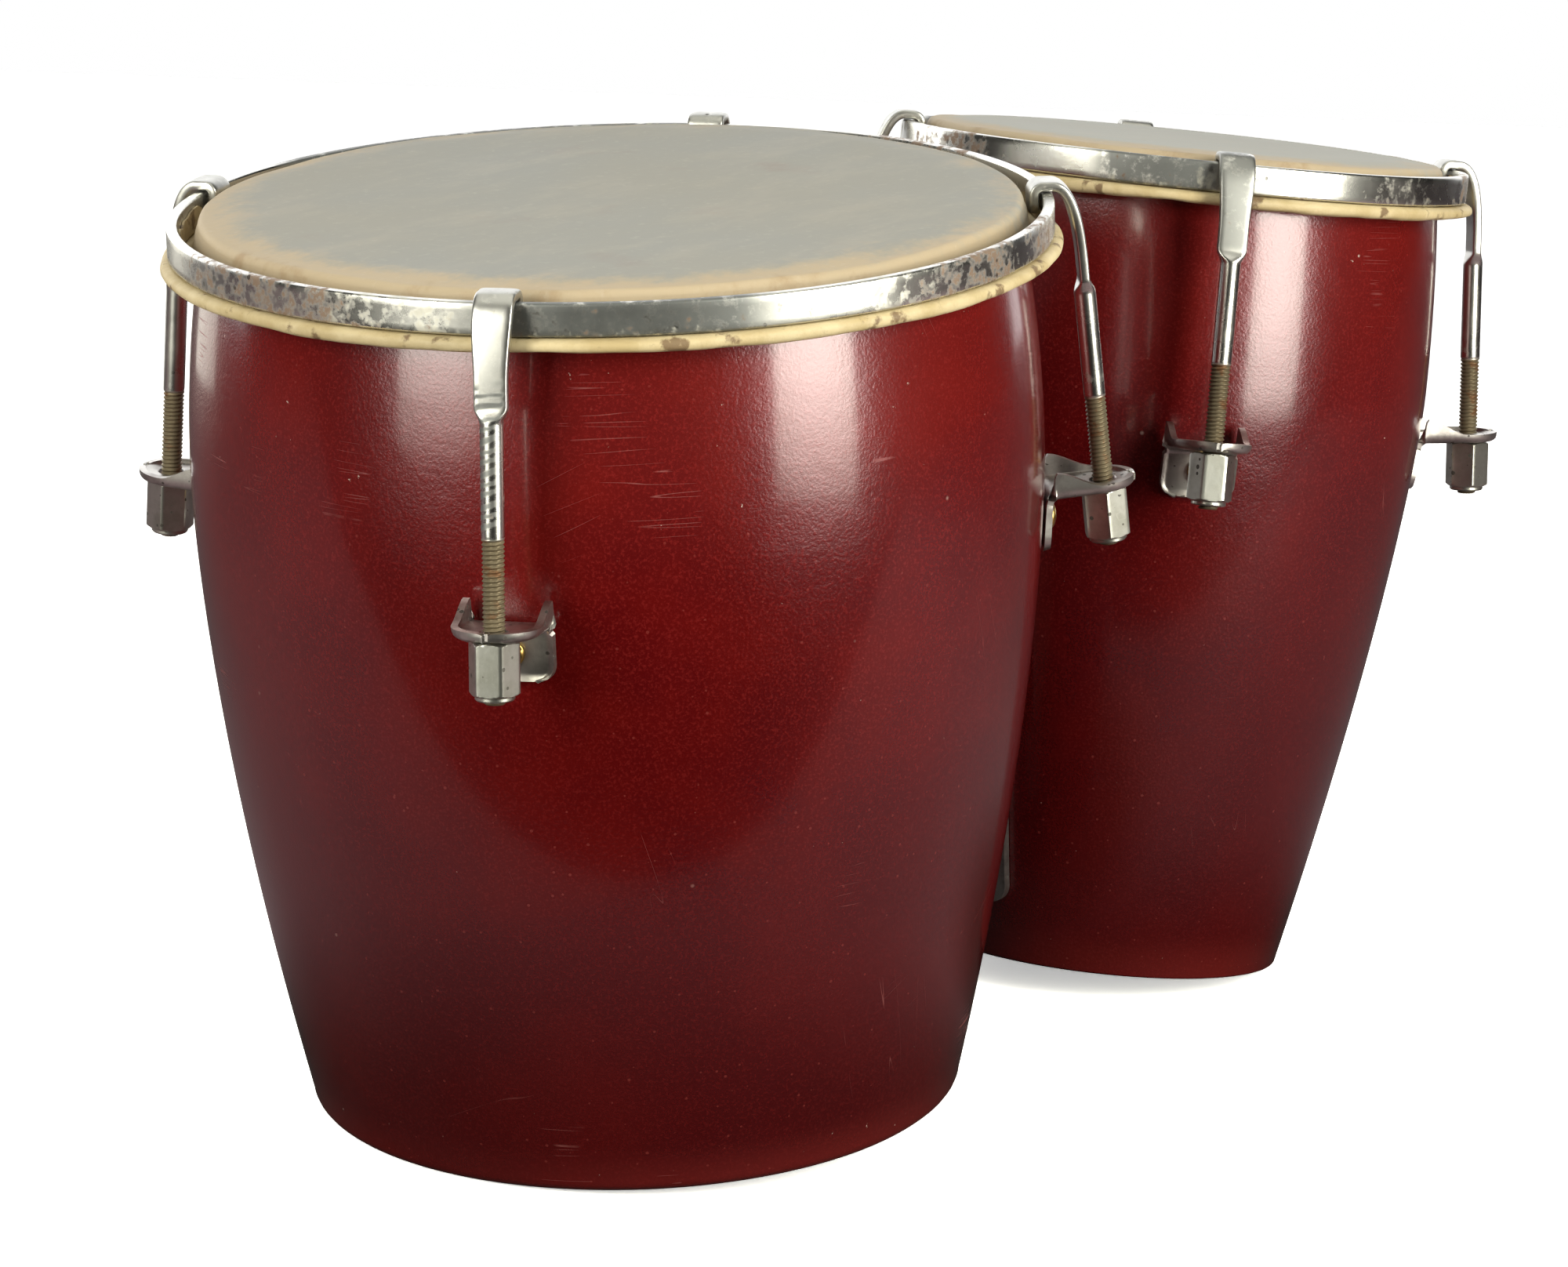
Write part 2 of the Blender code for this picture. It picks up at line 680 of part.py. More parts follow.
def strapOutline(drum, side):
    # Follows the wall's line from the low end to the high one, and back a thickness off it.
    heights = evenly(CENTRE_STRAP_LOW, CENTRE_STRAP_HIGH, PROFILE_STEPS)
    inner = [(side * (drum.outer(h) + SEAT_GAP), h) for h in heights]
    outer = [(side * (drum.outer(h) + SEAT_GAP + CENTRE_STRAP_THICKNESS), h) for h in heights]
    return inner + outer[::-1]


def boltSeat(drum, height):
    # The bolt's head sits on a washer whose rim just clears the curved inner wall.
    out = drum.wallNormal(height)
    inside = drum.outer(height) - drum.wall
    sagitta = inside - math.sqrt(inside ** 2 - WASHER_RADIUS ** 2)
    depth = drum.wall * out.x + sagitta + FACET_ALLOWANCE + SEAT_GAP
    return inPlane(drum.outer(height), height) - out * depth, out


def boltMesh(drum, height):
    seat, out = boltSeat(drum, height)
    head = WASHER_THICKNESS + SEAT_GAP
    through = (inPlane(drum.outer(height), height) - seat).length
    reach = head + through + 2 * SEAT_GAP + CENTRE_STRAP_THICKNESS + BOLT_INTO_BLOCK
    profile = domeProfile(BOLT_HEAD_RADIUS, BOLT_HEAD_HEIGHT, BOLT_RADIUS, reach)
    return domeHeadMesh(f"{drum.name}_bolt_{round(height / MM)}", profile), seat - out * head


def buildSide(drum, frame, centreAngle):
    # The strap, bolts and washers of one drum, and the drilling that they need.
    side = 1 if centreAngle == 0 else -1
    strapMesh = extrudedMesh(drum.name + "_centre_strap", strapOutline(drum, side), CENTRE_STRAP_WIDTH)

    def strapEnd(middle, along):
        low = CENTRE_STRAP_LOW + SEAT_GAP
        high = CENTRE_STRAP_HIGH - SEAT_GAP
        return abs(along.x) > 0.9 and abs(middle.y) > 0.49 * CENTRE_STRAP_WIDTH and not low < middle.z < high

    bevelEdges(strapMesh, strapEnd, 0.4 * CENTRE_STRAP_WIDTH, 2)
    strap = placeObject(drum.name + "_centre_strap", strapMesh, "steel", frame)
    turn = Matrix.Rotation(centreAngle, 3, "Z")
    drills = []
    for number, height in enumerate((BOLT_LOW, BOLT_HIGH), 1):
        mesh, seat = boltMesh(drum, height)
        out = drum.wallNormal(height)
        placeObject(
            f"{drum.name}_bolt_{number}", mesh, "nickel", frame, turn @ seat, aimedAlong(-out, centreAngle)
        )
        washerProfile = [
            (BOLT_RADIUS + HOLE_CLEARANCE, 0.0),
            (WASHER_RADIUS, 0.0),
            (WASHER_RADIUS, -WASHER_THICKNESS),
            (BOLT_RADIUS + HOLE_CLEARANCE, -WASHER_THICKNESS),
        ]
        washer = placeObject(
            f"{drum.name}_washer_{number}",
            latheMesh(f"{drum.name}_washer_{number}", washerProfile, True),
            "nickel",
            frame,
            turn @ boltSeat(drum, height)[0],
            aimedAlong(out, centreAngle),
        )
        addScrew(washer, ROD_SIDES)
        middle = inPlane(drum.outer(height), height)
        tip = middle + out * (CENTRE_STRAP_THICKNESS + BOLT_INTO_BLOCK + 4 * SEAT_GAP)
        drills.append((BOLT_RADIUS + HOLE_CLEARANCE, turn @ (middle - out * drum.wall), turn @ tip))
    drill = hiddenObject(drum.name + "_drill", cylinderMesh(drum.name + "_drill", drills), frame)
    addBoolean(strap, drill, "DIFFERENCE")
    return drill


def blockOutline(rootInverse, largeFrame, smallFrame):
    # Bounded by the two straps' outer faces, in the plane through both axes.
    heights = evenly(BLOCK_LOW, BLOCK_HIGH, 4)
    outline = []
    for frame, drum, side, order in ((largeFrame, large, 1, 1), (smallFrame, small, -1, -1)):
        for h in heights[::order]:
            radius = drum.outer(h) + 2 * SEAT_GAP + CENTRE_STRAP_THICKNESS
            point = rootInverse @ frame.matrix_world @ Vector((side * radius, 0.0, h))
            outline.append((point.x, point.z))
    return outline


def buildCentre(root, largeFrame, smallFrame, drills):
    bpy.context.view_layer.update()
    outline = blockOutline(root.matrix_world.inverted(), largeFrame, smallFrame)
    mesh = extrudedMesh("centre_block", outline, BLOCK_WIDTH)
    block = placeObject("centre_block", mesh, "centre", root)
    for drill in drills:
        addBoolean(block, drill, "DIFFERENCE")


def standDrum(drum, root, x, splay):
    # The empty is the drum's base centre; its lowest base edge touches the floor.
    lean = math.radians(splay)
    lift = (drum.base - drum.edgeRound) * math.sin(abs(lean))
    return placeEmpty(drum.name + "_axis", root, (x, 0.0, lift), (0.0, lean, 0.0))


def centreOnOrigin(root):
    # Puts the middle of the part's bounding box over the origin and its underside on the floor.
    depsgraph = bpy.context.evaluated_depsgraph_get()
    depsgraph.update()
    points = []
    for piece in partCollection.objects:
        if piece.type != "MESH":
            continue
        evaluated = piece.evaluated_get(depsgraph)
        mesh = evaluated.to_mesh()
        points.extend(piece.matrix_world @ vertex.co for vertex in mesh.vertices)
        evaluated.to_mesh_clear()
    lows = [min(point[i] for point in points) for i in range(3)]
    highs = [max(point[i] for point in points) for i in range(3)]
    root.location = (-(lows[0] + highs[0]) / 2, -(lows[1] + highs[1]) / 2, -lows[2])
    bpy.context.view_layer.update()


def describe(drum, frame):
    # Prints the joint axes and places in the part's frame.
    matrix = frame.matrix_world
    axis = matrix.to_3x3() @ Vector((0, 0, 1))
    print(drum.name, "base", [round(v, 6) for v in matrix.translation], "axis", [round(v, 6) for v in axis])
    print(drum.name, "rim travel for each radian of a nut", round(THREAD_PITCH / math.tau, 9))
    for number, angle in enumerate(drum.angles, 1):
        turn = Matrix.Rotation(angle, 3, "Z")
        place = matrix @ (turn @ drum.shelfPoint())
        up = matrix.to_3x3() @ (turn @ drum.rodUp())
        print(drum.name, "nut", number, [round(v, 6) for v in place], [round(v, 6) for v in up])


def build():
    root = placeEmpty("bongos", None)
    largeFrame = standDrum(large, root, 0.0, -LARGE_SPLAY)
    smallFrame = standDrum(small, root, BASE_SPACING, SMALL_SPLAY)
    nut = nutMesh()
    screwReach = BRACKET_THICKNESS + BRACKET_SCREW_BITE
    screwProfile = domeProfile(BRACKET_SCREW_HEAD, BRACKET_SCREW_DOME, BRACKET_SCREW_SHANK, screwReach)
    screw = domeHeadMesh("bracket_screw", screwProfile)
    drills = []
    for drum, frame, centreAngle in ((large, largeFrame, 0.0), (small, smallFrame, math.pi)):
        shell = turnedPiece(drum.name + "_shell", shellProfile(drum), "lacquer", frame)
        addBoolean(shell, shellHoles(drum, frame, centreAngle), "DIFFERENCE")
        buildHead(drum, frame)
        buildTuning(drum, frame, nut, screw)
        drills.append(buildSide(drum, frame, centreAngle))
    buildCentre(root, largeFrame, smallFrame, drills)
    centreOnOrigin(root)
    describe(large, largeFrame)
    describe(small, smallFrame)


build()
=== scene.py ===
import math

import bmesh
import bpy
import numpy as np
from mathutils import Matrix, Vector


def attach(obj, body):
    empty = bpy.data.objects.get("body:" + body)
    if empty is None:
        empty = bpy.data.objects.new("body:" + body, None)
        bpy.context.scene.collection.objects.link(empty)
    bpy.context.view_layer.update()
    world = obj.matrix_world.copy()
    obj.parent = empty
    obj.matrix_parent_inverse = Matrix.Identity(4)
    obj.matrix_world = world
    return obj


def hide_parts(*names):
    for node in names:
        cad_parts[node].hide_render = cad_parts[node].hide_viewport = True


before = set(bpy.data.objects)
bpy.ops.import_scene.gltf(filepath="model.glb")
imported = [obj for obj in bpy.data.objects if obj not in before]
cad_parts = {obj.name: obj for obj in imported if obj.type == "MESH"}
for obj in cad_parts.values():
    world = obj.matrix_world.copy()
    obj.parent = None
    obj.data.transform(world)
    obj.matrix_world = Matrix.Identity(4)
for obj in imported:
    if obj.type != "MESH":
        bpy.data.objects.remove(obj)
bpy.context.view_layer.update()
print("frame loaded:", len(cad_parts), "nodes")

mm = 0.001

# The two drums, as the solids have them: where each base centre is, which way its axis leans (a turn about
# Y), its turned wall and the degrees that its hooks stand at. Millimetres, except base, which is in metres.
large = dict(name="large", base=(-0.08673, -0.005074, 0.0072), lean=-5.17, foot=82.9, belly=107.0,
             mouth=102.7, power=1.59, edge=3.0, wall=8.0, hooks=(112.3, -152.4, -45.7, 27.6), seam=0.0)
small = dict(name="small", base=(0.11547, -0.005074, 0.004673), lean=5.45, foot=50.2, belly=75.0,
             mouth=72.4, power=1.42, edge=1.0, wall=7.0, hooks=(133.0, -135.0, -40.0, 46.0), seam=180.0)
body = dict(height=229.4, bellyHeight=165.0, mouthHeight=218.0, bearing=3.0, skin=1.4, gap=0.3, hookThick=2.6)

# How the hoops, the hook's lip and the rod stand to the head and to one another.
rimFit = dict(hoopDown=2.1, hoopTall=8.0, hoopWide=2.8, hoopGap=0.8, fleshDown=0.3, fleshTall=3.6,
              fleshSlack=2.0, skirtPast=3.1, lipDown=5.0, lipGap=0.4, strapUp=0.3, rodOut=12.6)


def wallRadius(drum, height):
    # Below the belly the radius falls as a power of the distance to it; above, as its square.
    height, belly = np.asarray(height, float), body["bellyHeight"]
    below = np.clip((belly - height) / belly, 0, None) ** drum["power"]
    above = np.clip((height - belly) / (body["mouthHeight"] - belly), 0, None) ** 2
    return drum["belly"] - (drum["belly"] - drum["foot"]) * below - (drum["belly"] - drum["mouth"]) * above


def wallPoint(drum, height):
    # The outside of the wall at a height, and the direction straight out of it, in the radial plane.
    slope = float(wallRadius(drum, height + 0.5) - wallRadius(drum, height - 0.5))
    out = np.array([1.0, -slope]) / math.hypot(slope, 1.0)
    return np.array([float(wallRadius(drum, height)), height]), out


def addLevels(d):
    # The heights and radii that the head, hoops and hooks share, worked out as the solids do it.
    half = body["hookThick"] / 2
    d["headTop"] = body["height"] + body["gap"] + body["skin"]
    d["hoopTop"] = d["headTop"] - rimFit["hoopDown"]
    d["hoopLow"] = d["hoopTop"] - rimFit["hoopTall"]
    d["fleshTop"] = d["hoopLow"] - rimFit["fleshDown"]
    d["fleshLow"] = d["fleshTop"] - rimFit["fleshTall"]
    d["skirtLow"] = d["fleshTop"] - rimFit["skirtPast"]
    d["lipLow"] = d["hoopTop"] - rimFit["lipDown"]
    d["lipMiddle"] = float(wallRadius(d, d["lipLow"])) + body["gap"] + body["skin"] + rimFit["lipGap"] + half
    d["hoopInner"] = d["lipMiddle"] + half + rimFit["hoopGap"]
    d["hoopOuter"] = d["hoopInner"] + rimFit["hoopWide"]
    d["fleshInner"] = float(wallRadius(d, d["skirtLow"])) + rimFit["fleshSlack"]
    d["fleshOuter"] = d["hoopOuter"] + rimFit["fleshSlack"]
    d["strapTop"] = d["hoopTop"] + rimFit["strapUp"] + half
    d["rodAtShelf"] = d["hoopOuter"] + rimFit["rodOut"]
    c, s = math.cos(math.radians(d["lean"])), math.sin(math.radians(d["lean"]))
    d["axes"] = np.array([(c, 0, -s), (0, 1, 0), (s, 0, c)])


for drum in (large, small):
    addLevels(drum)

rod = dict(lean=math.radians(5.0), radius=2.743, pitch=1.058, threadDepth=0.5, threadTop=176.5, past=1.0,
           shelf=152.5, nutGap=0.3, nutLength=12.8, bossLength=1.2)
rodUp = np.array([-math.sin(rod["lean"]), math.cos(rod["lean"])])
rodOut = np.array([math.cos(rod["lean"]), math.sin(rod["lean"])])


def rodPoint(drum, height):
    # Where the rod's line is at a height, or at each of several; it leans in towards the top.
    rise = np.asarray(height, float)[..., None] - rod["shelf"]
    return np.array([drum["rodAtShelf"], rod["shelf"]]) + rodUp * (rise / rodUp[1])


def inRow(drum, points, degrees=0.0):
    # Points of a drum's own frame, turned about its axis and put in the frame of both drums, in metres.
    c, s = math.cos(math.radians(degrees)), math.sin(math.radians(degrees))
    x, y, z = points[..., 0], points[..., 1], points[..., 2]
    return np.stack([c * x - s * y, s * x + c * y, z], -1) * mm @ drum["axes"] + np.array(drum["base"])


def addObject(name, data):
    made = bpy.data.objects.new(name, data)
    bpy.context.scene.collection.objects.link(made)
    return made


def surface(name, grid, materials, uv=None, marks=None, rowMaterial=None, sharp=38):
    # A mesh from a grid of points (rows, columns, 3). Rows and columns that meet merge into one closed skin.
    rows, cols = grid.shape[:2]
    index = np.arange(rows * cols).reshape(rows, cols)
    quads = np.stack([index[:-1, :-1], index[:-1, 1:], index[1:, 1:], index[1:, :-1]], -1).reshape(-1, 4)
    mesh = bpy.data.meshes.new(name)
    mesh.from_pydata(grid.reshape(-1, 3).tolist(), [], quads.tolist())
    if uv is not None:
        layer = mesh.uv_layers.new(name="UVMap")
        layer.data.foreach_set("uv", uv.reshape(-1, 2)[quads.ravel()].astype(np.float32).ravel())
    for key, values in (marks or {}).items():
        attribute = mesh.attributes.new(key, "FLOAT", "POINT")
        attribute.data.foreach_set("value", np.broadcast_to(values, (rows, cols)).astype(np.float32).ravel())
    for material in materials:
        mesh.materials.append(material)
    if rowMaterial is not None:
        mesh.polygons.foreach_set("material_index", np.repeat(rowMaterial, cols - 1).astype(np.int32))
    closeUp(mesh, sharp)
    return addObject(name, mesh)


def closeUp(mesh, sharp):
    # Points closer than a few millionths of the piece's reach are one point; faces then turn outwards.
    points = np.zeros(len(mesh.vertices) * 3)
    mesh.vertices.foreach_get("co", points)
    near = 2e-6 * np.abs(points).max()
    work = bmesh.new()
    work.from_mesh(mesh)
    bmesh.ops.remove_doubles(work, verts=work.verts, dist=near)
    bmesh.ops.dissolve_degenerate(work, edges=work.edges, dist=near / 4)
    bmesh.ops.recalc_face_normals(work, faces=work.faces)
    work.to_mesh(mesh)
    work.free()
    mesh.shade_smooth()
    mesh.set_sharp_from_angle(angle=math.radians(sharp))


def turned(drum, profile, steps, wobble=None):
    # A profile of (radius, height) carried round the drum's axis; wobble(angle, row) shifts both a little.
    angle = np.radians(drum["seam"]) + np.linspace(0, math.tau, steps + 1)
    profile = np.asarray(profile, float)
    radius = np.repeat(profile[:, :1], steps + 1, 1)
    height = np.repeat(profile[:, 1:], steps + 1, 1)
    if wobble is not None:
        outwards, upwards = wobble(angle[None, :], np.arange(len(profile))[:, None])
        radius, height = radius + outwards, height + upwards
    grid = np.stack([radius * np.cos(angle), radius * np.sin(angle), height], -1)
    along = np.concatenate([[0], np.cumsum(np.hypot(*np.diff(profile, axis=0).T))])
    across = (angle - angle[0])[None, :] * drum["belly"]
    uv = np.stack(np.broadcast_arrays(across * mm, along[:, None] * mm), -1)
    return grid, uv, angle


def spun(middle, axis, radii, levels, steps):
    # Radii and levels carried round an axis that lies in the radial plane.
    theta = np.linspace(0, math.tau, steps + 1)[None, :]
    across = np.array([axis[1], -axis[0]])
    x = middle[0] + levels * axis[0] + radii * np.cos(theta) * across[0]
    z = middle[1] + levels * axis[1] + radii * np.cos(theta) * across[1]
    return np.stack([x, radii * np.sin(theta), z], -1)


def hum(angle, seed, counts, size):
    # A few waves round the ring, each a whole number of times, with phases from the seed.
    phases = np.random.default_rng(seed).uniform(0, math.tau, len(counts))
    return sum(size / (1 + i) * np.sin(n * angle + p) for i, (n, p) in enumerate(zip(counts, phases)))


def arcs(angle, spans, soft):
    # One inside each arc of a middle and a half width (degrees), falling to nothing over the soft margin.
    def one(middle, half):
        off = np.abs((np.degrees(angle) - middle + 180) % 360 - 180)
        return np.clip((half + soft - off) / soft, 0, 1)

    return sum(one(*span) for span in spans)[None, :]


def smooth(x):
    x = np.clip(x, 0, 1)
    return x * x * (3 - 2 * x)


def risesFrom(x, start, over):
    return smooth((x - start) / over)


def fallsFrom(x, start, over):
    return smooth((start - x) / over)


def squared(wave, power):
    # A sine or cosine to a power, with its sign kept: powers below one square up the circle.
    return np.sign(wave) * np.abs(wave) ** power


def roundedEnd(half, corner, fromEnd):
    # The half width of a strip whose ends have round corners, from the distance to the end.
    q = np.clip((corner - fromEnd) / corner, 0, 1)
    return half - corner * (1 - np.sqrt(np.clip(1 - q ** 2, 0, 1)))


def stands(piece, riding, slot, *nodes):
    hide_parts(*nodes)
    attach(piece, riding)


# Node helpers. A value that is a socket is linked, a colour gets its alpha, and anything else is set.
def feed(tree, value, socket):
    if isinstance(value, bpy.types.NodeSocket):
        tree.links.new(value, socket)
    else:
        socket.default_value = (*value, 1.0) if socket.type == "RGBA" else value


def addNode(tree, kind, inputs=None, **settings):
    made = tree.nodes.new(kind)
    for key, value in settings.items():
        setattr(made, key, value)
    for key, value in (inputs or {}).items():
        feed(tree, value, made.inputs[key])
    return made


def mathNode(tree, operation, a, b=0.5, clamp=False):
    return addNode(tree, "ShaderNodeMath", {0: a, 1: b}, operation=operation, use_clamp=clamp).outputs[0]


def times(tree, a, b, clamp=False):
    return mathNode(tree, "MULTIPLY", a, b, clamp)


def plus(tree, a, b, clamp=False):
    return mathNode(tree, "ADD", a, b, clamp)


def most(tree, a, b):
    return mathNode(tree, "MAXIMUM", a, b)


def plusShares(tree, base, *shares):
    # A value with each mask times its amount added, up to one.
    for mask, amount in shares:
        base = plus(tree, base, times(tree, mask, amount), clamp=True)
    return base


def mixColours(tree, share, first, second):
    return addNode(tree, "ShaderNodeMix", {0: share, 6: first, 7: second}, data_type="RGBA").outputs[2]


def tinted(tree, colour, mask, strength, tint):
    # A tint laid over a colour where the mask says, at most at its strength.
    return mixColours(tree, times(tree, mask, strength), colour, tint)


def vectorNode(tree, operation, vector, other):
    return addNode(tree, "ShaderNodeVectorMath", {0: vector, 1: other}, operation=operation)


def ramp(tree, value, low, high):
    # Nought at low, one at high, eased between.
    return addNode(tree, "ShaderNodeMapRange", {0: value, 1: low, 2: high},
                   interpolation_type="SMOOTHSTEP").outputs[0]


def noiseOf(tree, vector, scale, detail=4.0, roughness=0.55):
    return addNode(tree, "ShaderNodeTexNoise", {"Vector": vector, "Scale": scale, "Detail": detail,
                                                "Roughness": roughness}).outputs[0]


def markOf(tree, name):
    return addNode(tree, "ShaderNodeAttribute", attribute_name=name).outputs["Fac"]


def newGroup(name, **inputs):
    # A shader group that takes a Vector and the values named here, and gives one mask.
    group = bpy.data.node_groups.new(name, "ShaderNodeTree")
    group.interface.new_socket("Vector", in_out="INPUT", socket_type="NodeSocketVector")
    for key, value in inputs.items():
        kind = "NodeSocketVector" if isinstance(value, tuple) else "NodeSocketFloat"
        group.interface.new_socket(key, in_out="INPUT", socket_type=kind).default_value = value
    group.interface.new_socket("Mask", in_out="OUTPUT", socket_type="NodeSocketFloat")
    return group, group.nodes.new("NodeGroupInput").outputs, group.nodes.new("NodeGroupOutput").inputs[0]


def patchGroup():
    # Ragged patches: coarse noise roughened by finer noise, cut at a level.
    group, given, mask = newGroup("raggedPatches", Scale=60.0, Level=0.55, Soft=0.04, Push=0.0)
    pushed = plus(group, noiseOf(group, given["Vector"], given["Scale"], 6.0, 0.62), given["Push"])
    high = plus(group, given["Level"], given["Soft"])
    group.links.new(ramp(group, pushed, given["Level"], high), mask)
    return group


def speckGroup():
    # Small round specks, one in some of the cells of a scatter, each its own size.
    group, given, mask = newGroup("specks", Scale=400.0, Share=0.3, Size=0.3)
    cells = addNode(group, "ShaderNodeTexVoronoi", {"Vector": given["Vector"], "Scale": given["Scale"]})
    split = addNode(group, "ShaderNodeSeparateColor", {0: cells.outputs["Color"]})
    chosen = mathNode(group, "LESS_THAN", split.outputs[0], given["Share"])
    size = times(group, split.outputs[1], given["Size"])
    spot = times(group, mathNode(group, "SUBTRACT", size, cells.outputs["Distance"]), 14.0, clamp=True)
    group.links.new(times(group, spot, chosen), mask)
    return group


def scratchGroup():
    # Hairlines: the thin contour of a stretched noise, broken up by a second, coarser noise.
    group, given, mask = newGroup("hairlines", Stretch=(6.0, 240.0, 60.0), Turn=(0.0, 0.0, 0.0), Width=0.012,
                                  Breaks=30.0, Level=0.55)
    aimed = addNode(group, "ShaderNodeVectorRotate", {"Vector": given["Vector"], "Rotation": given["Turn"]},
                    rotation_type="EULER_XYZ")
    drawn = vectorNode(group, "MULTIPLY", aimed.outputs[0], given["Stretch"])
    noise = noiseOf(group, drawn.outputs[0], 1.0, 1.0, 0.5)
    off = mathNode(group, "ABSOLUTE", mathNode(group, "SUBTRACT", noise, 0.5))
    line = addNode(group, "ShaderNodeMapRange", {0: off, 1: 0.0, 2: given["Width"], 3: 1.0, 4: 0.0})
    breaks = noiseOf(group, given["Vector"], given["Breaks"], 3.0, 0.5)
    kept = ramp(group, breaks, given["Level"], plus(group, given["Level"], 0.06))
    group.links.new(times(group, line.outputs[0], kept), mask)
    return group


patches, specks, hairlines = patchGroup(), speckGroup(), scratchGroup()


def place(tree, group, **inputs):
    return addNode(tree, "ShaderNodeGroup", inputs, node_tree=group).outputs[0]


def startMaterial(name):
    material = bpy.data.materials.new(name)
    material.use_nodes = True
    tree = material.node_tree
    return material, tree, tree.nodes["Principled BSDF"], addNode(tree, "ShaderNodeTexCoord").outputs


def dressShader(tree, shader, inputs, *bumps):
    # Sets or links the shader's inputs, and chains the bumps: each is (height, strength, distance in metres).
    for key, value in inputs.items():
        feed(tree, value, shader.inputs[key])
    normal = None
    for height, strength, distance in bumps:
        bump = addNode(tree, "ShaderNodeBump", {"Height": height, "Strength": strength, "Distance": distance})
        if normal is not None:
            tree.links.new(normal, bump.inputs["Normal"])
        normal = bump.outputs[0]
    tree.links.new(normal, shader.inputs["Normal"])


# foot is the colour of the painted shade laid over the lower wall, for the light that falls off towards the
# foot.
lacquer = dict(deep=(0.078, 0.0018, 0.0026), warm=(0.118, 0.0034, 0.0028), bright=(0.200, 0.0125, 0.0115),
               foot=(0.028, 0.0009, 0.0014), fleck=(0.32, 0.06, 0.05), chip=(0.62, 0.50, 0.44),
               scratch=(0.34, 0.12, 0.11), dusty=(0.21, 0.022, 0.018), roughness=0.24, coatRoughness=0.11,
               coatBend=1.36, sheen=(1.0, 0.76, 0.84))


def lacquerMaterial():
    # Burgundy lacquer: mottled red under a clear coat, with fine specks, chips, crazing and hairlines, and a
    # painted shade that darkens it towards the foot.
    material, tree, shader, coords = startMaterial("burgundyLacquer")
    uv, place3 = coords["UV"], coords["Object"]
    worn = markOf(tree, "wear")
    mottle, speckle = noiseOf(tree, place3, 24.0, 5.0), noiseOf(tree, place3, 1300.0, 3.0, 0.7)
    flecks = place(tree, specks, Vector=place3, Scale=900.0, Share=0.05, Size=0.40)
    colour = mixColours(tree, ramp(tree, mottle, 0.35, 0.7), lacquer["deep"], lacquer["warm"])
    colour = tinted(tree, colour, ramp(tree, speckle, 0.47, 0.68), 0.6, lacquer["bright"])
    # Painted shade: the foot mark darkens the wall towards its foot.
    colour = tinted(tree, colour, markOf(tree, "foot"), 0.62, lacquer["foot"])
    colour = tinted(tree, colour, flecks, 0.25, lacquer["fleck"])
    colour = tinted(tree, colour, worn, 0.3, lacquer["dusty"])
    # Where the drum is worn, the marks come at a lower level, so there are more of them.
    chipLevel = mathNode(tree, "SUBTRACT", 0.735, times(tree, worn, 0.045))
    lineLevel = mathNode(tree, "SUBTRACT", 0.69, times(tree, worn, 0.175))
    # Scratches on a slant, scratches across, and the crazing that runs round the drum.
    allLines = None
    for stretch, turn, width, breaks, level in (((6.0, 85.0, 1.0), 0.42, 0.0022, 13.0, 0.63),
                                                ((11.0, 120.0, 1.0), 1.9, 0.0022, 17.0, 0.64),
                                                ((9.0, 330.0, 1.0), 0.0, 0.010, 30.0, lineLevel)):
        lines = place(tree, hairlines, Vector=uv, Stretch=stretch, Turn=(0.0, 0.0, turn), Width=width,
                      Breaks=breaks, Level=level)
        allLines = lines if allLines is None else most(tree, allLines, lines)
    chips = most(tree, place(tree, specks, Vector=place3, Scale=75.0, Share=0.20, Size=0.085),
                 place(tree, patches, Vector=place3, Scale=420.0, Level=chipLevel, Soft=0.03))
    colour = tinted(tree, colour, allLines, 0.42, lacquer["scratch"])
    colour = tinted(tree, colour, chips, 0.7, lacquer["chip"])
    coat = mathNode(tree, "SUBTRACT", 1.0, times(tree, most(tree, allLines, chips), 0.8))
    dressShader(tree, shader, {
        "Base Color": colour, "Roughness": plusShares(tree, lacquer["roughness"], (allLines, 0.3)),
        "Coat Weight": coat, "Coat Roughness": lacquer["coatRoughness"], "Coat IOR": lacquer["coatBend"],
        "Specular Tint": lacquer["sheen"]},
        (noiseOf(tree, place3, 130.0, 3.0), 0.20, 0.0006),
        (noiseOf(tree, place3, 1300.0, 2.0), 0.55, 0.00012),
        (allLines, -0.8, 0.0001), (chips, -0.5, 0.0002))
    return material


wood = dict(light=(0.42, 0.27, 0.14), dark=(0.24, 0.13, 0.06), upright=(160.0, 160.0, 12.0), bareRough=0.6,
            stained=(0.055, 0.016, 0.010), stainedDark=(0.018, 0.006, 0.004), level=(14.0, 180.0, 180.0),
            stainedRough=0.32)


def woodMaterial(name, light, dark, roughness, stretch):
    # Grain: noise drawn out along one axis, with darker pores on it.
    material, tree, shader, coords = startMaterial(name)
    drawn = vectorNode(tree, "MULTIPLY", coords["Object"], stretch).outputs[0]
    grain, fine = noiseOf(tree, drawn, 1.0, 6.0, 0.6), noiseOf(tree, drawn, 5.0, 3.0)
    colour = mixColours(tree, ramp(tree, grain, 0.3, 0.7), dark, light)
    colour = tinted(tree, colour, ramp(tree, fine, 0.6, 0.75), 0.5, dark)
    dressShader(tree, shader, {"Base Color": colour, "Roughness": plusShares(tree, roughness, (fine, 0.2))},
                (grain, 0.3, 0.0004), (fine, 0.2, 0.0002))
    return material


hide = dict(grey=(0.335, 0.323, 0.285), cool=(0.30, 0.30, 0.277), streak=(0.43, 0.39, 0.33),
            stain=(0.29, 0.21, 0.17), cream=(0.50, 0.395, 0.26), brown=(0.33, 0.22, 0.12),
            pale=(0.49, 0.49, 0.45), pore=(0.62, 0.58, 0.50), tan=(0.48, 0.37, 0.185),
            tanLight=(0.64, 0.53, 0.32), tanDark=(0.15, 0.085, 0.04), drawn=(26.0, 60.0, 30.0))


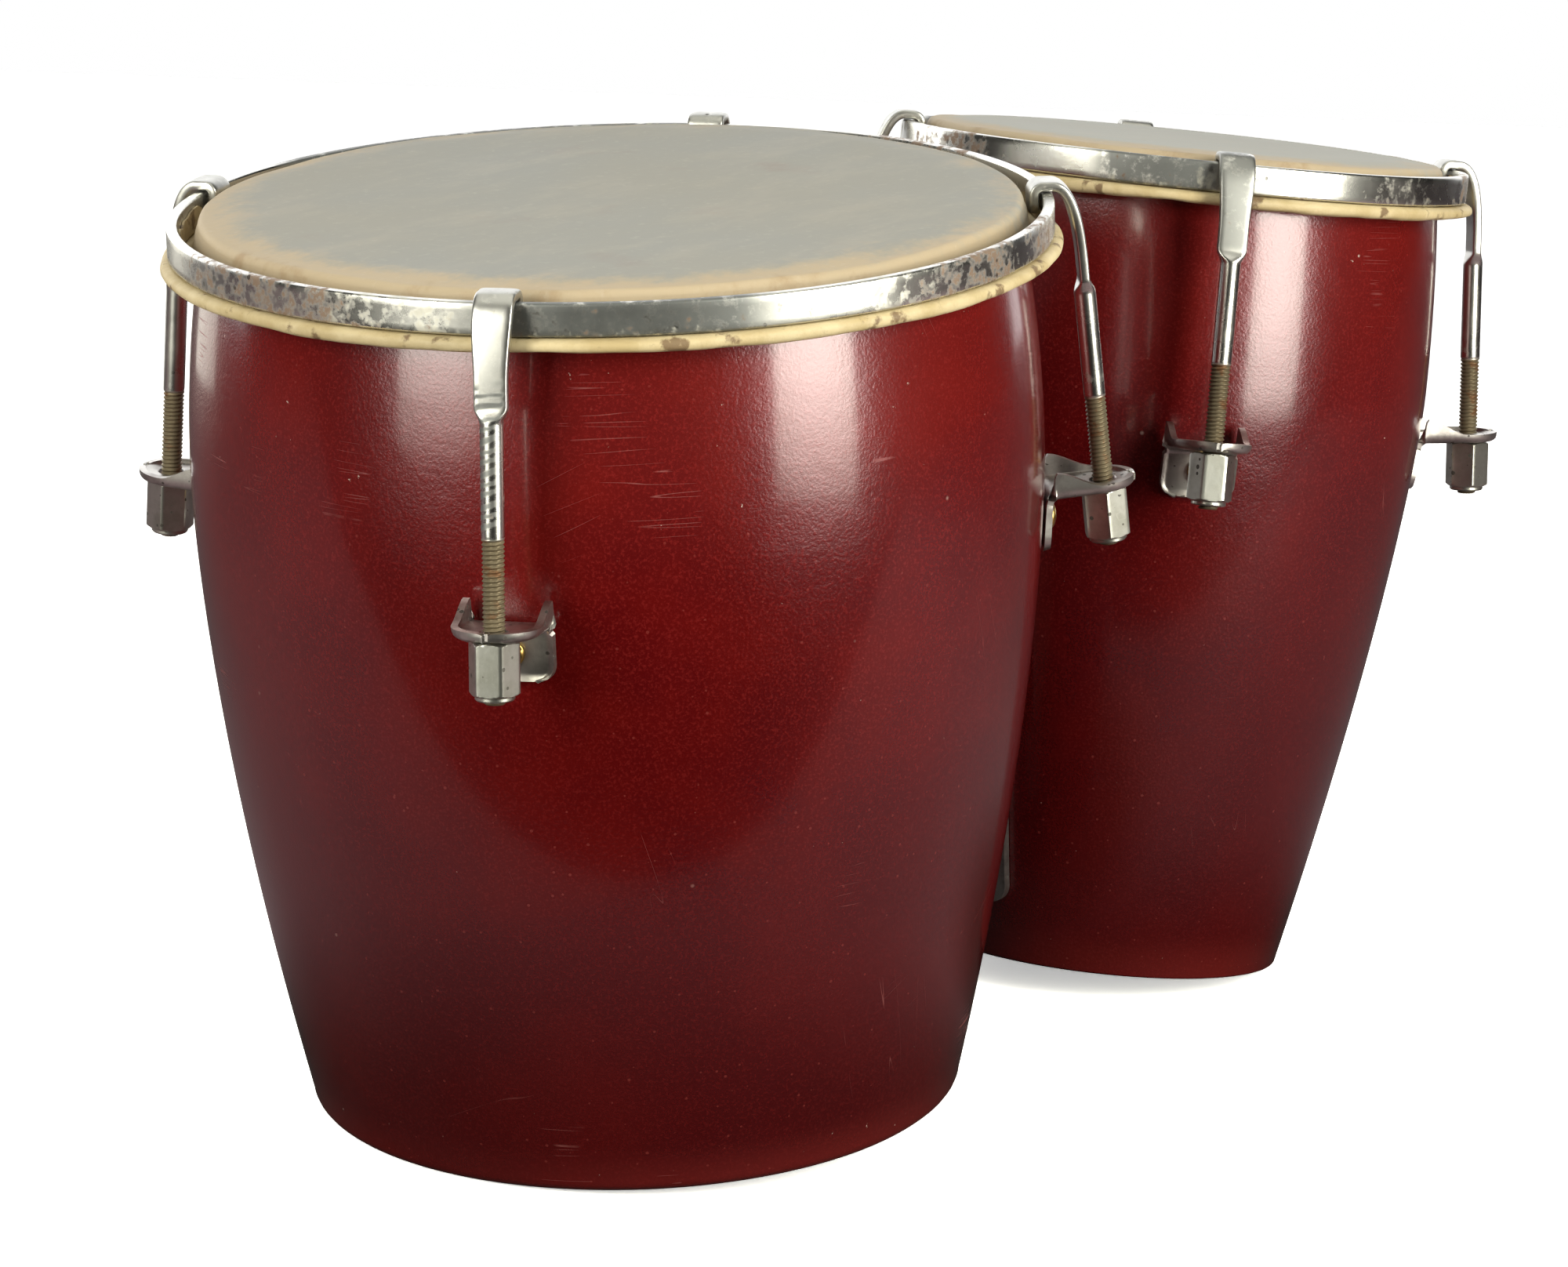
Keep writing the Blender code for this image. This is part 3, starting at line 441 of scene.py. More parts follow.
def rawhideMaterial():
    # Grey and hand-worn in the middle, cream where it bends over the edge, with faint streaks and stains.
    material, tree, shader, coords = startMaterial("rawhide")
    place3 = coords["Object"]
    clouds, fine = noiseOf(tree, place3, 17.0, 5.0, 0.6), noiseOf(tree, place3, 420.0, 3.0, 0.6)
    streaks = noiseOf(tree, vectorNode(tree, "MULTIPLY", place3, hide["drawn"]).outputs[0], 1.0, 5.0, 0.65)
    stains = place(tree, patches, Vector=place3, Scale=26.0, Level=0.58, Soft=0.2)
    # The cream's inner edge is the rim mark, made ragged by the streaks and by a finer noise.
    ragged = markOf(tree, "rim")
    for source in (streaks, noiseOf(tree, place3, 190.0, 6.0, 0.7)):
        ragged = plus(tree, ragged, times(tree, mathNode(tree, "SUBTRACT", source, 0.5), 0.9))
    brown = times(tree, ramp(tree, ragged, 0.75, 1.15),
                  place(tree, patches, Vector=place3, Scale=55.0, Level=0.46, Soft=0.2))
    colour = mixColours(tree, ramp(tree, clouds, 0.25, 0.75), hide["cool"], hide["grey"])
    for mask, strength, tint in ((ramp(tree, streaks, 0.45, 0.70), 0.30, "streak"), (stains, 0.40, "stain"),
                                 (markOf(tree, "pale"), 0.5, "pale"),
                                 (ramp(tree, ragged, 0.15, 0.80), 0.9, "cream"), (brown, 0.65, "brown"),
                                 (ramp(tree, fine, 0.55, 0.8), 0.16, "pore")):
        colour = tinted(tree, colour, mask, strength, hide[tint])
    dressShader(tree, shader, {"Base Color": colour, "Roughness": plusShares(tree, 0.52, (clouds, 0.22)),
                               "Specular IOR Level": 0.35}, (streaks, 0.25, 0.0006), (fine, 0.3, 0.0001))
    return material


def tanHideMaterial():
    # The hide lapped round the flesh hoop: tan, with darker creases across it.
    material, tree, shader, coords = startMaterial("tanHide")
    place3 = coords["Object"]
    clouds, fine = noiseOf(tree, place3, 70.0, 5.0, 0.65), noiseOf(tree, place3, 600.0, 3.0, 0.6)
    dark = place(tree, patches, Vector=place3, Scale=150.0, Level=0.60, Soft=0.10,
                 Push=times(tree, markOf(tree, "crease"), 0.22))
    colour = mixColours(tree, ramp(tree, clouds, 0.3, 0.7), hide["tan"], hide["tanLight"])
    colour = tinted(tree, colour, dark, 0.85, hide["tanDark"])
    dressShader(tree, shader, {"Base Color": colour, "Roughness": plusShares(tree, 0.45, (fine, 0.3))},
                (clouds, 0.4, 0.0008), (fine, 0.4, 0.0002))
    return material


plating = dict(bright=(0.72, 0.715, 0.68), dull=(0.44, 0.435, 0.40), cloud=(0.80, 0.80, 0.74),
               tarnish=(0.10, 0.11, 0.112), stain=(0.12, 0.075, 0.085), rust=(0.22, 0.12, 0.06),
               flake=(0.66, 0.64, 0.55), pit=(0.03, 0.022, 0.018), thread=(0.22, 0.18, 0.115),
               nickel=(0.66, 0.665, 0.61), nickelDull=(0.44, 0.44, 0.385), lug=(0.62, 0.60, 0.57),
               lugDark=(0.34, 0.31, 0.30), brass=(0.62, 0.42, 0.13), brassDark=(0.20, 0.11, 0.03),
               metalPit=(0.035, 0.025, 0.02), drawn=(60.0, 900.0, 300.0))


def chromeMaterial():
    # Old plating: a bright metal with cloudy bloom, brown-purple stains where the mark says, black pits and
    # pale flakes, dull where it is tarnished or gripped, and a dirty thread. Where the counterhoops face the
    # camera, the dull mark is a painted dark reflection.
    material, tree, shader, coords = startMaterial("wornChrome")
    place3 = coords["Object"]
    dullMark, stainMark, flakeMark, gripMark, thread = (
        markOf(tree, name) for name in ("dull", "stain", "flake", "grip", "thread"))
    clouds, fine = noiseOf(tree, place3, 55.0, 6.0, 0.62), noiseOf(tree, place3, 620.0, 4.0, 0.62)
    mottle = noiseOf(tree, place3, 260.0, 6.0, 0.7)
    bloom = ramp(tree, clouds, 0.42, 0.75)
    # dulled darkens towards the tarnish colour; on the counterhoops' camera side this is a painted dark
    # reflection.
    dulled = times(tree, dullMark, ramp(tree, mottle, 0.28, 0.5))
    stains = place(tree, patches, Vector=place3, Scale=260.0, Level=0.64, Soft=0.16,
                   Push=times(tree, stainMark, 0.22))
    stains = times(tree, stains, plus(tree, 0.45, ramp(tree, fine, 0.40, 0.56), clamp=True))
    flakes = place(tree, patches, Vector=place3, Scale=300.0, Level=0.68, Soft=0.20,
                   Push=times(tree, flakeMark, 0.22))
    pits = times(tree, place(tree, specks, Vector=place3, Scale=520.0, Share=0.22, Size=0.42),
                 ramp(tree, plus(tree, clouds, times(tree, stainMark, 0.16)), 0.56, 0.68))
    stainTint = mixColours(tree, ramp(tree, mottle, 0.40, 0.60), plating["stain"], plating["rust"])
    rusty = mixColours(tree, place(tree, patches, Vector=place3, Scale=170.0, Level=0.52, Soft=0.1),
                       plating["thread"], plating["rust"])
    colour = plating["bright"]
    for mask, strength, tint in ((bloom, 0.5, plating["dull"]),
                                 (ramp(tree, mottle, 0.48, 0.66), 0.30, plating["cloud"]),
                                 (dulled, 0.80, plating["tarnish"]), (stains, 0.85, stainTint),
                                 (flakes, 0.7, plating["flake"]), (pits, 0.85, plating["pit"]),
                                 (gripMark, 0.7, plating["tarnish"])):
        colour = tinted(tree, colour, mask, strength, tint)
    colour = mixColours(tree, thread, colour, rusty)
    dirt = most(tree, stains, most(tree, pits, flakes))
    rough = plusShares(tree, 0.24, (bloom, 0.14), (dulled, 0.26), (gripMark, 0.30), (dirt, 0.28),
                       (thread, 0.28))
    unplated = times(tree, most(tree, most(tree, stains, pits), times(tree, thread, 0.55)), 0.55)
    dressShader(tree, shader, {"Base Color": colour, "Roughness": rough,
                               "Metallic": mathNode(tree, "SUBTRACT", 1.0, unplated)},
                (clouds, 0.12, 0.0006), (fine, 0.08, 0.0001), (dirt, -0.4, 0.00012))
    return material


def metalMaterial(name, bright, dull, roughness, pitted):
    # Plain old plating or brass: two tones in clouds, hairlines, and some dark pits.
    material, tree, shader, coords = startMaterial(name)
    place3 = coords["Object"]
    clouds, fine = noiseOf(tree, place3, 130.0, 5.0, 0.6), noiseOf(tree, place3, 900.0, 3.0, 0.6)
    pits = place(tree, specks, Vector=place3, Scale=700.0, Share=pitted, Size=0.5)
    lines = place(tree, hairlines, Vector=place3, Stretch=plating["drawn"], Width=0.02, Breaks=90.0,
                  Level=0.5)
    colour = mixColours(tree, ramp(tree, clouds, 0.38, 0.72), bright, dull)
    colour = tinted(tree, colour, pits, 0.8, plating["metalPit"])
    colour = tinted(tree, colour, lines, 0.4, bright)
    dressShader(tree, shader, {"Base Color": colour, "Metallic": 1.0,
                               "Roughness": plusShares(tree, roughness, (clouds, 0.16), (pits, 0.3))},
                (clouds, 0.12, 0.0004), (fine, 0.12, 0.0001), (pits, -0.4, 0.0001))
    return material


finishes = dict(
    lacquer=lacquerMaterial(), rawhide=rawhideMaterial(), tanHide=tanHideMaterial(), chrome=chromeMaterial(),
    inside=woodMaterial("bareWood", wood["light"], wood["dark"], wood["bareRough"], wood["upright"]),
    block=woodMaterial("stainedBlock", wood["stained"], wood["stainedDark"], wood["stainedRough"],
                       wood["level"]),
    nickel=metalMaterial("oldNickel", plating["nickel"], plating["nickelDull"], 0.26, 0.18),
    lug=metalMaterial("lugSteel", plating["lug"], plating["lugDark"], 0.28, 0.12),
    # The lugs' bevelled edges take a paler copy of the plating: a painted highlight for the light the edges
    # catch.
    lugEdgeHighlight=metalMaterial("lugEdgePaintedHighlight", plating["cloud"], plating["nickel"], 0.40, 0.03),
    brass=metalMaterial("brassHead", plating["brass"], plating["brassDark"], 0.22, 0.08))
print("finishes made:", len(finishes))

# The marks run between heights: from the first number, over the second. dark gives where the painted shade
# towards the foot begins and how far down it deepens.
shell = dict(steps=176, outside=72, inside=34, footSteps=6, crownSteps=9, crownPower=2.5, wornFoot=(14, 12),
             wornMouth=(150, 50), mouthShare=0.9, wearMean=0.75, wearSwing=0.25, wearTurns=3, wearPhase=1.1,
             dark=(212, 180))


def buildShell(drum):
    # Turned wall: outside line, rounded foot, flat foot ring, inside line a wall's thickness in, and a
    # rounded bearing edge.
    top, edge, wall = body["height"], drum["edge"], drum["wall"]
    outsideHeights = np.linspace(top - body["bearing"], edge, shell["outside"])
    outside = np.stack([wallRadius(drum, outsideHeights), outsideHeights], -1)
    turn = np.linspace(0, math.pi / 2, shell["footSteps"] + 1)[1:]
    footX = float(wallRadius(drum, edge)) - edge * (1 - np.cos(turn))
    foot = np.stack([footX, edge * (1 - np.sin(turn))], -1)
    insideHeights = np.linspace(edge, top - body["bearing"], shell["inside"])
    inner = np.stack([wallRadius(drum, insideHeights) - wall, insideHeights], -1)
    over = np.linspace(0, 1, shell["crownSteps"])[1:-1]
    crown = np.stack([float(wallRadius(drum, top)) - wall + over * wall,
                      top - body["bearing"] * np.abs(2 * over - 1) ** shell["crownPower"]], -1)
    profile = np.concatenate([outside, foot, [(drum["foot"] - wall, 0.0)], inner, crown, outside[:1]])
    grid, uv, angle = turned(drum, profile, shell["steps"])
    height = profile[:, 1:] * np.ones_like(angle)
    # Worn at the foot and towards the mouth, a little more on some sides; and a painted shade makes it darker
    # the lower it is.
    wear = np.maximum(fallsFrom(height, *shell["wornFoot"]),
                      shell["mouthShare"] * risesFrom(height, *shell["wornMouth"]))
    swing = shell["wearSwing"] * np.sin(shell["wearTurns"] * angle + shell["wearPhase"])
    wear = wear * (shell["wearMean"] + swing)
    rowMaterial = np.where(np.arange(len(profile) - 1) < len(outside) + len(foot) - 1, 0, 1)
    piece = surface(drum["name"] + "Shell", inRow(drum, grid), [finishes["lacquer"], finishes["inside"]], uv,
                    {"wear": wear, "foot": fallsFrom(height, *shell["dark"])}, rowMaterial)
    stands(piece, "drums", "lacquered_wood", drum["name"] + "_shell")


skin = dict(creamSide=-168.0, creamMean=0.66, creamSwing=0.34, creamIn=5, creamOver=16, creamMost=1.2,
            steps=192, bandWidth=10.0, fall=0.8, shoulderOut=2.2, shoulderDown=2.6, backDown=1.5, underIn=3.6,
            waves=(7, 11, 19, 31), swell=0.14, lift=0.16)


def buildSkin(drum):
    # The head: nearly flat, falling a little over the band at its edge, rounded over and down as a skirt.
    gap, thick, band = body["gap"], body["skin"], skin["bandWidth"]
    edge = float(wallRadius(drum, body["height"])) + gap + thick
    reach = edge - skin["shoulderOut"]
    flatX = np.concatenate([np.linspace(0, reach - band, 14), np.linspace(reach - band, reach, 9)[1:]])
    flat = np.stack([flatX, drum["headTop"] - skin["fall"] * risesFrom(flatX, reach - band, band)], -1)
    turn = np.linspace(0, math.pi / 2, 7)[1:]
    over = np.stack([reach + skin["shoulderOut"] * np.sin(turn),
                     flat[-1, 1] - skin["shoulderDown"] * (1 - np.cos(turn))], -1)
    skirtZ = np.linspace(over[-1, 1], drum["skirtLow"], 9)[1:]
    skirt = np.stack([wallRadius(drum, skirtZ) + gap + thick, skirtZ], -1)
    backZ = np.linspace(drum["skirtLow"], body["height"] - skin["backDown"], 6)
    back = np.stack([wallRadius(drum, backZ) + gap, backZ], -1)
    under = np.stack([np.linspace(edge - skin["underIn"], 0, 10), np.full(10, body["height"] + gap)], -1)
    shown = len(flat) + len(over) + len(skirt)

    def wobble(angle, row):
        amount = smooth((row - len(flat) + 8) / 10) * (row < shown)
        return (amount * hum(angle, 3, skin["waves"], skin["swell"]),
                amount * hum(angle, 5, skin["waves"], skin["lift"]))

    profile = np.concatenate([flat, over, skirt, back, under])
    grid, uv, angle = turned(drum, profile, skin["steps"], wobble)
    # The hands have left most of the cream on the side that faces the player.
    rim = (profile[:, :1] - (reach - band - skin["creamIn"])) / skin["creamOver"]
    swing = skin["creamSwing"] * np.cos(angle - math.radians(skin["creamSide"]))
    rim = np.clip(rim, 0, skin["creamMost"]) * (skin["creamMean"] + swing)
    piece = surface(drum["name"] + "Skin", inRow(drum, grid), [finishes["rawhide"]], uv,
                    {"rim": rim, "pale": 1.0 if drum is small else 0.0})
    stands(piece, "drums", "rawhide", drum["name"] + "_skin")


flesh = dict(steps=288, around=28, sidePower=0.75, topPower=0.8, waves=(5, 9, 17, 29, 47), swell=0.22,
             tuck=0.25, sag=0.26, creases=(23, 37, 61, 83), creaseSize=0.6, creased=(0.35, 0.5))


def buildFlesh(drum):
    # A hoop of lapped hide: a rounded bar whose width and height breathe a little round the ring, creased.
    inner, outer, low, high = (drum[key] for key in ("fleshInner", "fleshOuter", "fleshLow", "fleshTop"))
    turn = np.linspace(0, math.tau, flesh["around"] + 1)
    c, s = np.cos(turn), np.sin(turn)
    profile = np.stack([(inner + outer) / 2 + (outer - inner) / 2 * squared(c, flesh["sidePower"]),
                        (high + low) / 2 + (high - low) / 2 * squared(s, flesh["topPower"])], -1)
    outward, lower = np.clip(c, 0, 1)[:, None], np.clip(-s, 0, 1)[:, None]

    def wobble(angle, row):
        return (outward * (hum(angle, 11, flesh["waves"], flesh["swell"]) - flesh["tuck"]),
                lower * hum(angle, 12, flesh["waves"], flesh["sag"]))

    grid, uv, angle = turned(drum, profile, flesh["steps"], wobble)
    crease = risesFrom(hum(angle, 15, flesh["creases"], flesh["creaseSize"]), *flesh["creased"])
    crease = crease * (0.3 + 0.7 * outward)
    piece = surface(drum["name"] + "FleshHoop", inRow(drum, grid), [finishes["tanHide"]], uv,
                    {"crease": crease})
    stands(piece, drum["name"] + "_rim", "flesh_hoop_hide", drum["name"] + "_flesh_hoop")


tail = dict(steps=300, thick=0.55, gap=0.12, start=0.2, rise=4.4, ragged=1.5, crease=0.6,
            waves=(13, 29, 53, 71))


def buildTail(drum):
    # The trimmed edge of the hide, tucked up between head and counterhoop: a thin wall with a ragged top.
    outer = drum["hoopInner"] - tail["gap"]
    low, high = drum["hoopLow"] + tail["start"], drum["hoopLow"] + tail["rise"]
    rows = np.linspace(0, 1, 5)
    up = np.stack([np.full(5, outer), low + rows * (high - low)], -1)
    down = np.stack([np.full(5, outer - tail["thick"]), high - rows * (high - low)], -1)
    share = np.concatenate([rows, rows[::-1], [0]])[:, None]
    grid, uv, angle = turned(drum, np.concatenate([up, down, up[:1]]), tail["steps"],
                             lambda angle, row: (0.0, share * hum(angle, 21, tail["waves"], tail["ragged"])))
    piece = surface(drum["name"] + "HideTail", inRow(drum, grid), [finishes["tanHide"]], uv,
                    {"crease": tail["crease"] * share})
    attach(piece, drum["name"] + "_rim")


# Arcs of the counterhoops that are stained, flaking or dull: middle and half width in degrees round each
# drum, and soft, the margin over which each kind fades. The dull arcs facing the camera, at -138 and -150
# degrees, are a painted dark reflection of the camera's side of the room; the other dull arcs are tarnish.
counterhoop = dict(
    steps=256, corner=0.7, untrue=(0.10, 0.08), soft=dict(stains=7, flakes=5, dull=6), lowStain=0.35,
    lowFlake=dict(most=0.9, below=0.42, over=0.3),
    stains=dict(large=((171, 12), (-87, 6), (-66, 3), (-8, 8)), small=((-62, 6), (10, 12), (160, 9))),
    flakes=dict(large=((-167, 7), (-101, 4), (40, 12)), small=((-135, 5), (-96, 5), (120, 16))),
    dull=dict(large=((-138, 15), (60, 30)), small=((-150, 9), (80, 25))))


def buildCounterhoop(drum):
    # A flat band with its four edges rounded, very slightly out of true.
    name, c = drum["name"], counterhoop["corner"]
    inner, outer = drum["hoopInner"] + c, drum["hoopOuter"] - c
    low, high = drum["hoopLow"] + c, drum["hoopTop"] - c
    turn = np.linspace(0, math.pi / 2, 5)
    corners = []
    for quarter, (x, z) in enumerate(((outer, high), (inner, high), (inner, low), (outer, low))):
        a = turn + quarter * math.pi / 2
        corners.append(np.stack([x + c * np.cos(a), z + c * np.sin(a)], -1))
    face = np.stack([np.full(4, drum["hoopOuter"]), np.linspace(low, high, 6)[1:-1]], -1)
    profile = np.concatenate(corners + [face, corners[0][:1]])
    size = counterhoop["untrue"]

    def wobble(angle, row):
        return hum(angle, 31, (2, 3, 5), size[0]), hum(angle, 33, (2, 3, 4), size[1])

    grid, uv, angle = turned(drum, profile, counterhoop["steps"], wobble)
    height = (profile[:, 1:] - drum["hoopLow"]) / rimFit["hoopTall"]
    # Where the hoop faces the camera the dull arcs are a painted dark reflection; the others are tarnish.
    stain, flake, dull = (arcs(angle, counterhoop[kind][name], counterhoop["soft"][kind])
                          for kind in ("stains", "flakes", "dull"))
    # The lower edge is a little stained all round, and flakes where the hoop is dull.
    low = counterhoop["lowFlake"]
    stain = stain + counterhoop["lowStain"] * (1 - height)
    flake = flake + dull * smooth((low["below"] - height) / low["over"]) * low["most"]
    piece = surface(name + "Counterhoop", inRow(drum, grid), [finishes["chrome"]], uv,
                    {"stain": np.clip(stain, 0, 1), "flake": np.clip(flake, 0, 1), "dull": dull,
                     "thread": 0.0, "grip": 0.0})
    stands(piece, name + "_rim", "worn_chrome", name + "_counterhoop")


# The front rod of the larger drum has been gripped, and the same hook of the smaller one is the dullest.
# A pair of numbers says at which height a change starts, and over how much.
hook = dict(width=9.6, narrowing=0.8, narrow=(228, 16), around=32, bendIn=0.8, backOn=0.3, drop=20.0,
            step=0.45, rodFrom=20, shoulder=(206.5, 3.8), squareness=6.0, plainEnd=0.4, threadRows=7,
            threadIn=1.5, threadOut=0.8, lipEnd=0.80, rodEnd=0.82, dulled=("small", 2), dullFrom=(204, 4),
            dull=0.3, moreDull=0.75, stain=0.4, stainUp=3, stainWide=4)
grip = dict(hook=("large", 2), top=(215, 5), low=(177, 2), side=2.4, rise=2.5, slant=2.2)


def hookLine(drum):
    # The middle line in the radial plane: up the lip, a quarter round, out, and down a parabola to the rod.
    bend = body["hookThick"] / 2 + hook["bendIn"]
    lipX, top = drum["lipMiddle"], drum["strapTop"]
    lip = np.stack([np.full(4, lipX), np.linspace(drum["lipLow"], top - bend, 5)[:-1]], -1)
    turn = np.linspace(0, math.pi / 2, 9)
    arc = np.stack([lipX + bend * (1 - np.cos(turn)), top - bend * (1 - np.sin(turn))], -1)
    start = np.array([drum["hoopOuter"] - hook["backOn"], top])
    corner, end = rodPoint(drum, top), rodPoint(drum, top - hook["drop"])
    t = np.linspace(0, 1, 26)[:, None]
    curve = (1 - t) ** 2 * start + 2 * t * (1 - t) * corner + t ** 2 * end
    low = rod["shelf"] - (rod["nutGap"] + rod["nutLength"] + rod["bossLength"] + rod["past"]) * rodUp[1]
    plain = np.arange(end[1] - hook["step"], rod["threadTop"], -hook["step"])
    last = low + hook["plainEnd"]
    cut = np.arange(rod["threadTop"], last, -rod["pitch"] / hook["threadRows"])
    straight = rodPoint(drum, np.concatenate([plain, cut, [last, low]]))
    return np.concatenate([lip, arc, curve[1:], straight])


def gripMarks(height, phi):
    # Slanting waves down the rod, between two heights and on one side of it.
    run = risesFrom(height, *grip["low"]) * fallsFrom(height, *grip["top"])
    around = smooth((np.cos(phi - grip["side"]) + 0.15) / 0.5)
    slanting = np.sin(height * math.tau / grip["rise"] + grip["slant"] * phi + 0.8 * np.sin(height * 0.9))
    return run * smooth(slanting * 1.4 + 0.35) * around


def buildHook(drum, number):
    # A section that is a rounded bar on the strap and a circle on the rod, carried along the middle line;
    # the thread is a triangle wave in the angle plus the distance over the pitch.
    line = hookLine(drum)
    tangent = np.gradient(line, axis=0)
    tangent /= np.linalg.norm(tangent, axis=1)[:, None]
    height = line[:, 1:]
    phi = np.linspace(0, math.tau, hook["around"] + 1)[None, :]
    onRod = (np.arange(len(line)) > hook["rodFrom"])[:, None]
    share = fallsFrom(height, *hook["shoulder"]) * onRod
    narrow = hook["narrowing"] * fallsFrom(height, *hook["narrow"]) * onRod
    halfWide = (hook["width"] / 2 - narrow) * (1 - share) + rod["radius"] * share
    halfThick = body["hookThick"] / 2 * (1 - share) + rod["radius"] * share
    power = 2 / (hook["squareness"] * (1 - share) + 2.0 * share)
    depth = fallsFrom(height, rod["threadTop"], hook["threadIn"])
    depth = depth * risesFrom(height, height[-1], hook["threadOut"])
    cut = rod["threadDepth"] * depth * np.abs(2 * ((height / rod["pitch"] + phi / math.tau) % 1.0) - 1)
    # Both ends are drawn in a little before they close.
    shrink = np.ones_like(height)
    shrink[0], shrink[-1] = hook["lipEnd"], hook["rodEnd"]
    y = (halfWide - cut) * squared(np.cos(phi), power) * shrink
    n = (halfThick - cut) * squared(np.sin(phi), power) * shrink
    grid = np.stack([line[:, :1] - n * tangent[:, 1:], y, height + n * tangent[:, :1]], -1)
    ends = [np.broadcast_to([x, 0, z], grid[:1].shape) for x, z in (line[0], line[-1])]
    grid = np.concatenate([ends[0], grid, ends[1]])
    height = np.concatenate([height[:1], height, height[-1:]])
    which = (drum["name"], number)
    stained = (height - rod["threadTop"] - hook["stainUp"]) / hook["stainWide"]
    dull = risesFrom(height, *hook["dullFrom"]) * hook["moreDull" if which == hook["dulled"] else "dull"]
    marks = {"thread": smooth(rod["threadTop"] - height), "flake": 0.0,
             "stain": hook["stain"] * np.exp(-stained ** 2), "dull": dull,
             "grip": gripMarks(height, phi) if which == grip["hook"] else 0.0}
    piece = surface(f"{drum['name']}Hook{number}", inRow(drum, grid, drum["hooks"][number - 1]),
                    [finishes["chrome"]], None, marks, sharp=50)
    stands(piece, drum["name"] + "_rim", "worn_chrome", f"{drum['name']}_hook_{number}")


nut = dict(flats=10.8, boss=4.7, bore=3.343, chamfer=5.15, coneSlope=1.9, corner=46, steps=84, bevel=0.3,
           coneRows=1.0, flatRows=1.6)


def buildNut(drum, number, turn):
    # A six-sided section (a high power mean of three cosines rounds its corners), cut by a cone at both ends,
    # with a round boss below and the bore through it.
    theta = np.linspace(0, math.tau, nut["steps"] + 1)[None, :] + turn
    power = nut["corner"]
    cosines = sum(np.abs(np.cos(theta - k * math.pi / 3)) ** power for k in range(3))
    hexagon = nut["flats"] / 2 * cosines ** (-1 / power)
    length, end, bevel = rod["nutLength"], rod["nutLength"] + rod["bossLength"], nut["bevel"]
    cut, flat = nut["coneRows"], nut["flatRows"]
    levels = np.concatenate([np.linspace(0, cut, 6), np.linspace(flat, length - flat, 8),
                             np.linspace(length - cut, length, 6)])
    cone = nut["chamfer"] + nut["coneSlope"] * np.minimum(levels, length - levels)
    sides = np.minimum(hexagon, cone[:, None])
    below = np.array([(nut["boss"] + 0.25, length), (nut["boss"], length + 0.2), (nut["boss"], end - 0.35),
                      (nut["boss"] - bevel, end), (nut["bore"] + bevel, end), (nut["bore"], end - bevel),
                      (nut["bore"], bevel), (nut["bore"] + bevel, 0.0)])
    radius = np.concatenate([sides, below[:, :1] * np.ones_like(theta), sides[:1]])
    level = np.concatenate([levels, below[:, 1], levels[:1]])[:, None] * np.ones_like(theta)
    top = rodPoint(drum, rod["shelf"]) - rodUp * rod["nutGap"]
    across = radius * np.cos(theta)
    grid = np.stack([top[0] + across * rodOut[0] - level * rodUp[0], radius * np.sin(theta),
                     top[1] + across * rodOut[1] - level * rodUp[1]], -1)
    piece = surface(f"{drum['name']}Nut{number}", inRow(drum, grid, drum["hooks"][number - 1]),
                    [finishes["nickel"]], sharp=28)
    stands(piece, f"{drum['name']}_nut_body_{number}", "worn_nickel", f"{drum['name']}_nut_{number}")


lug = dict(half=10.75, thick=1.7, gap=0.3, plate=14.5, screwDrop=7.2, past=7.5, ear=5.4,
           earLow=(14.0, 12.0), earStart=(0.4, 1.8), rim=1.0, frontRim=0.9, frontRise=3.0, plateCorner=4.2,
           front=10.0, frontTurn=84, turnedEdge=0.55, turnedSide=(0.80, 0.2), turnedFoot=(1.6, 1.6),
           bend=2.4, hole=3.55, screwHole=1.95, softness=0.7, bevel=0.65)


def bracketPath(drum):
    # The middle line of the lug: up the plate, a parabola round the bend, and out along the shelf.
    seat, out = wallPoint(drum, rod["shelf"] - lug["screwDrop"])
    up = np.array([-out[1], out[0]])
    face = seat + out * (lug["gap"] + lug["thick"] / 2)
    shelfAt = rodPoint(drum, rod["shelf"]) + rodUp * lug["thick"] / 2
    across = np.array([-rodOut[1], rodOut[0]])
    corner = face + up * ((shelfAt - face) @ across) / (up @ across)
    return face - up * (lug["plate"] - lug["screwDrop"]), corner, shelfAt + rodOut * lug["past"], up, out


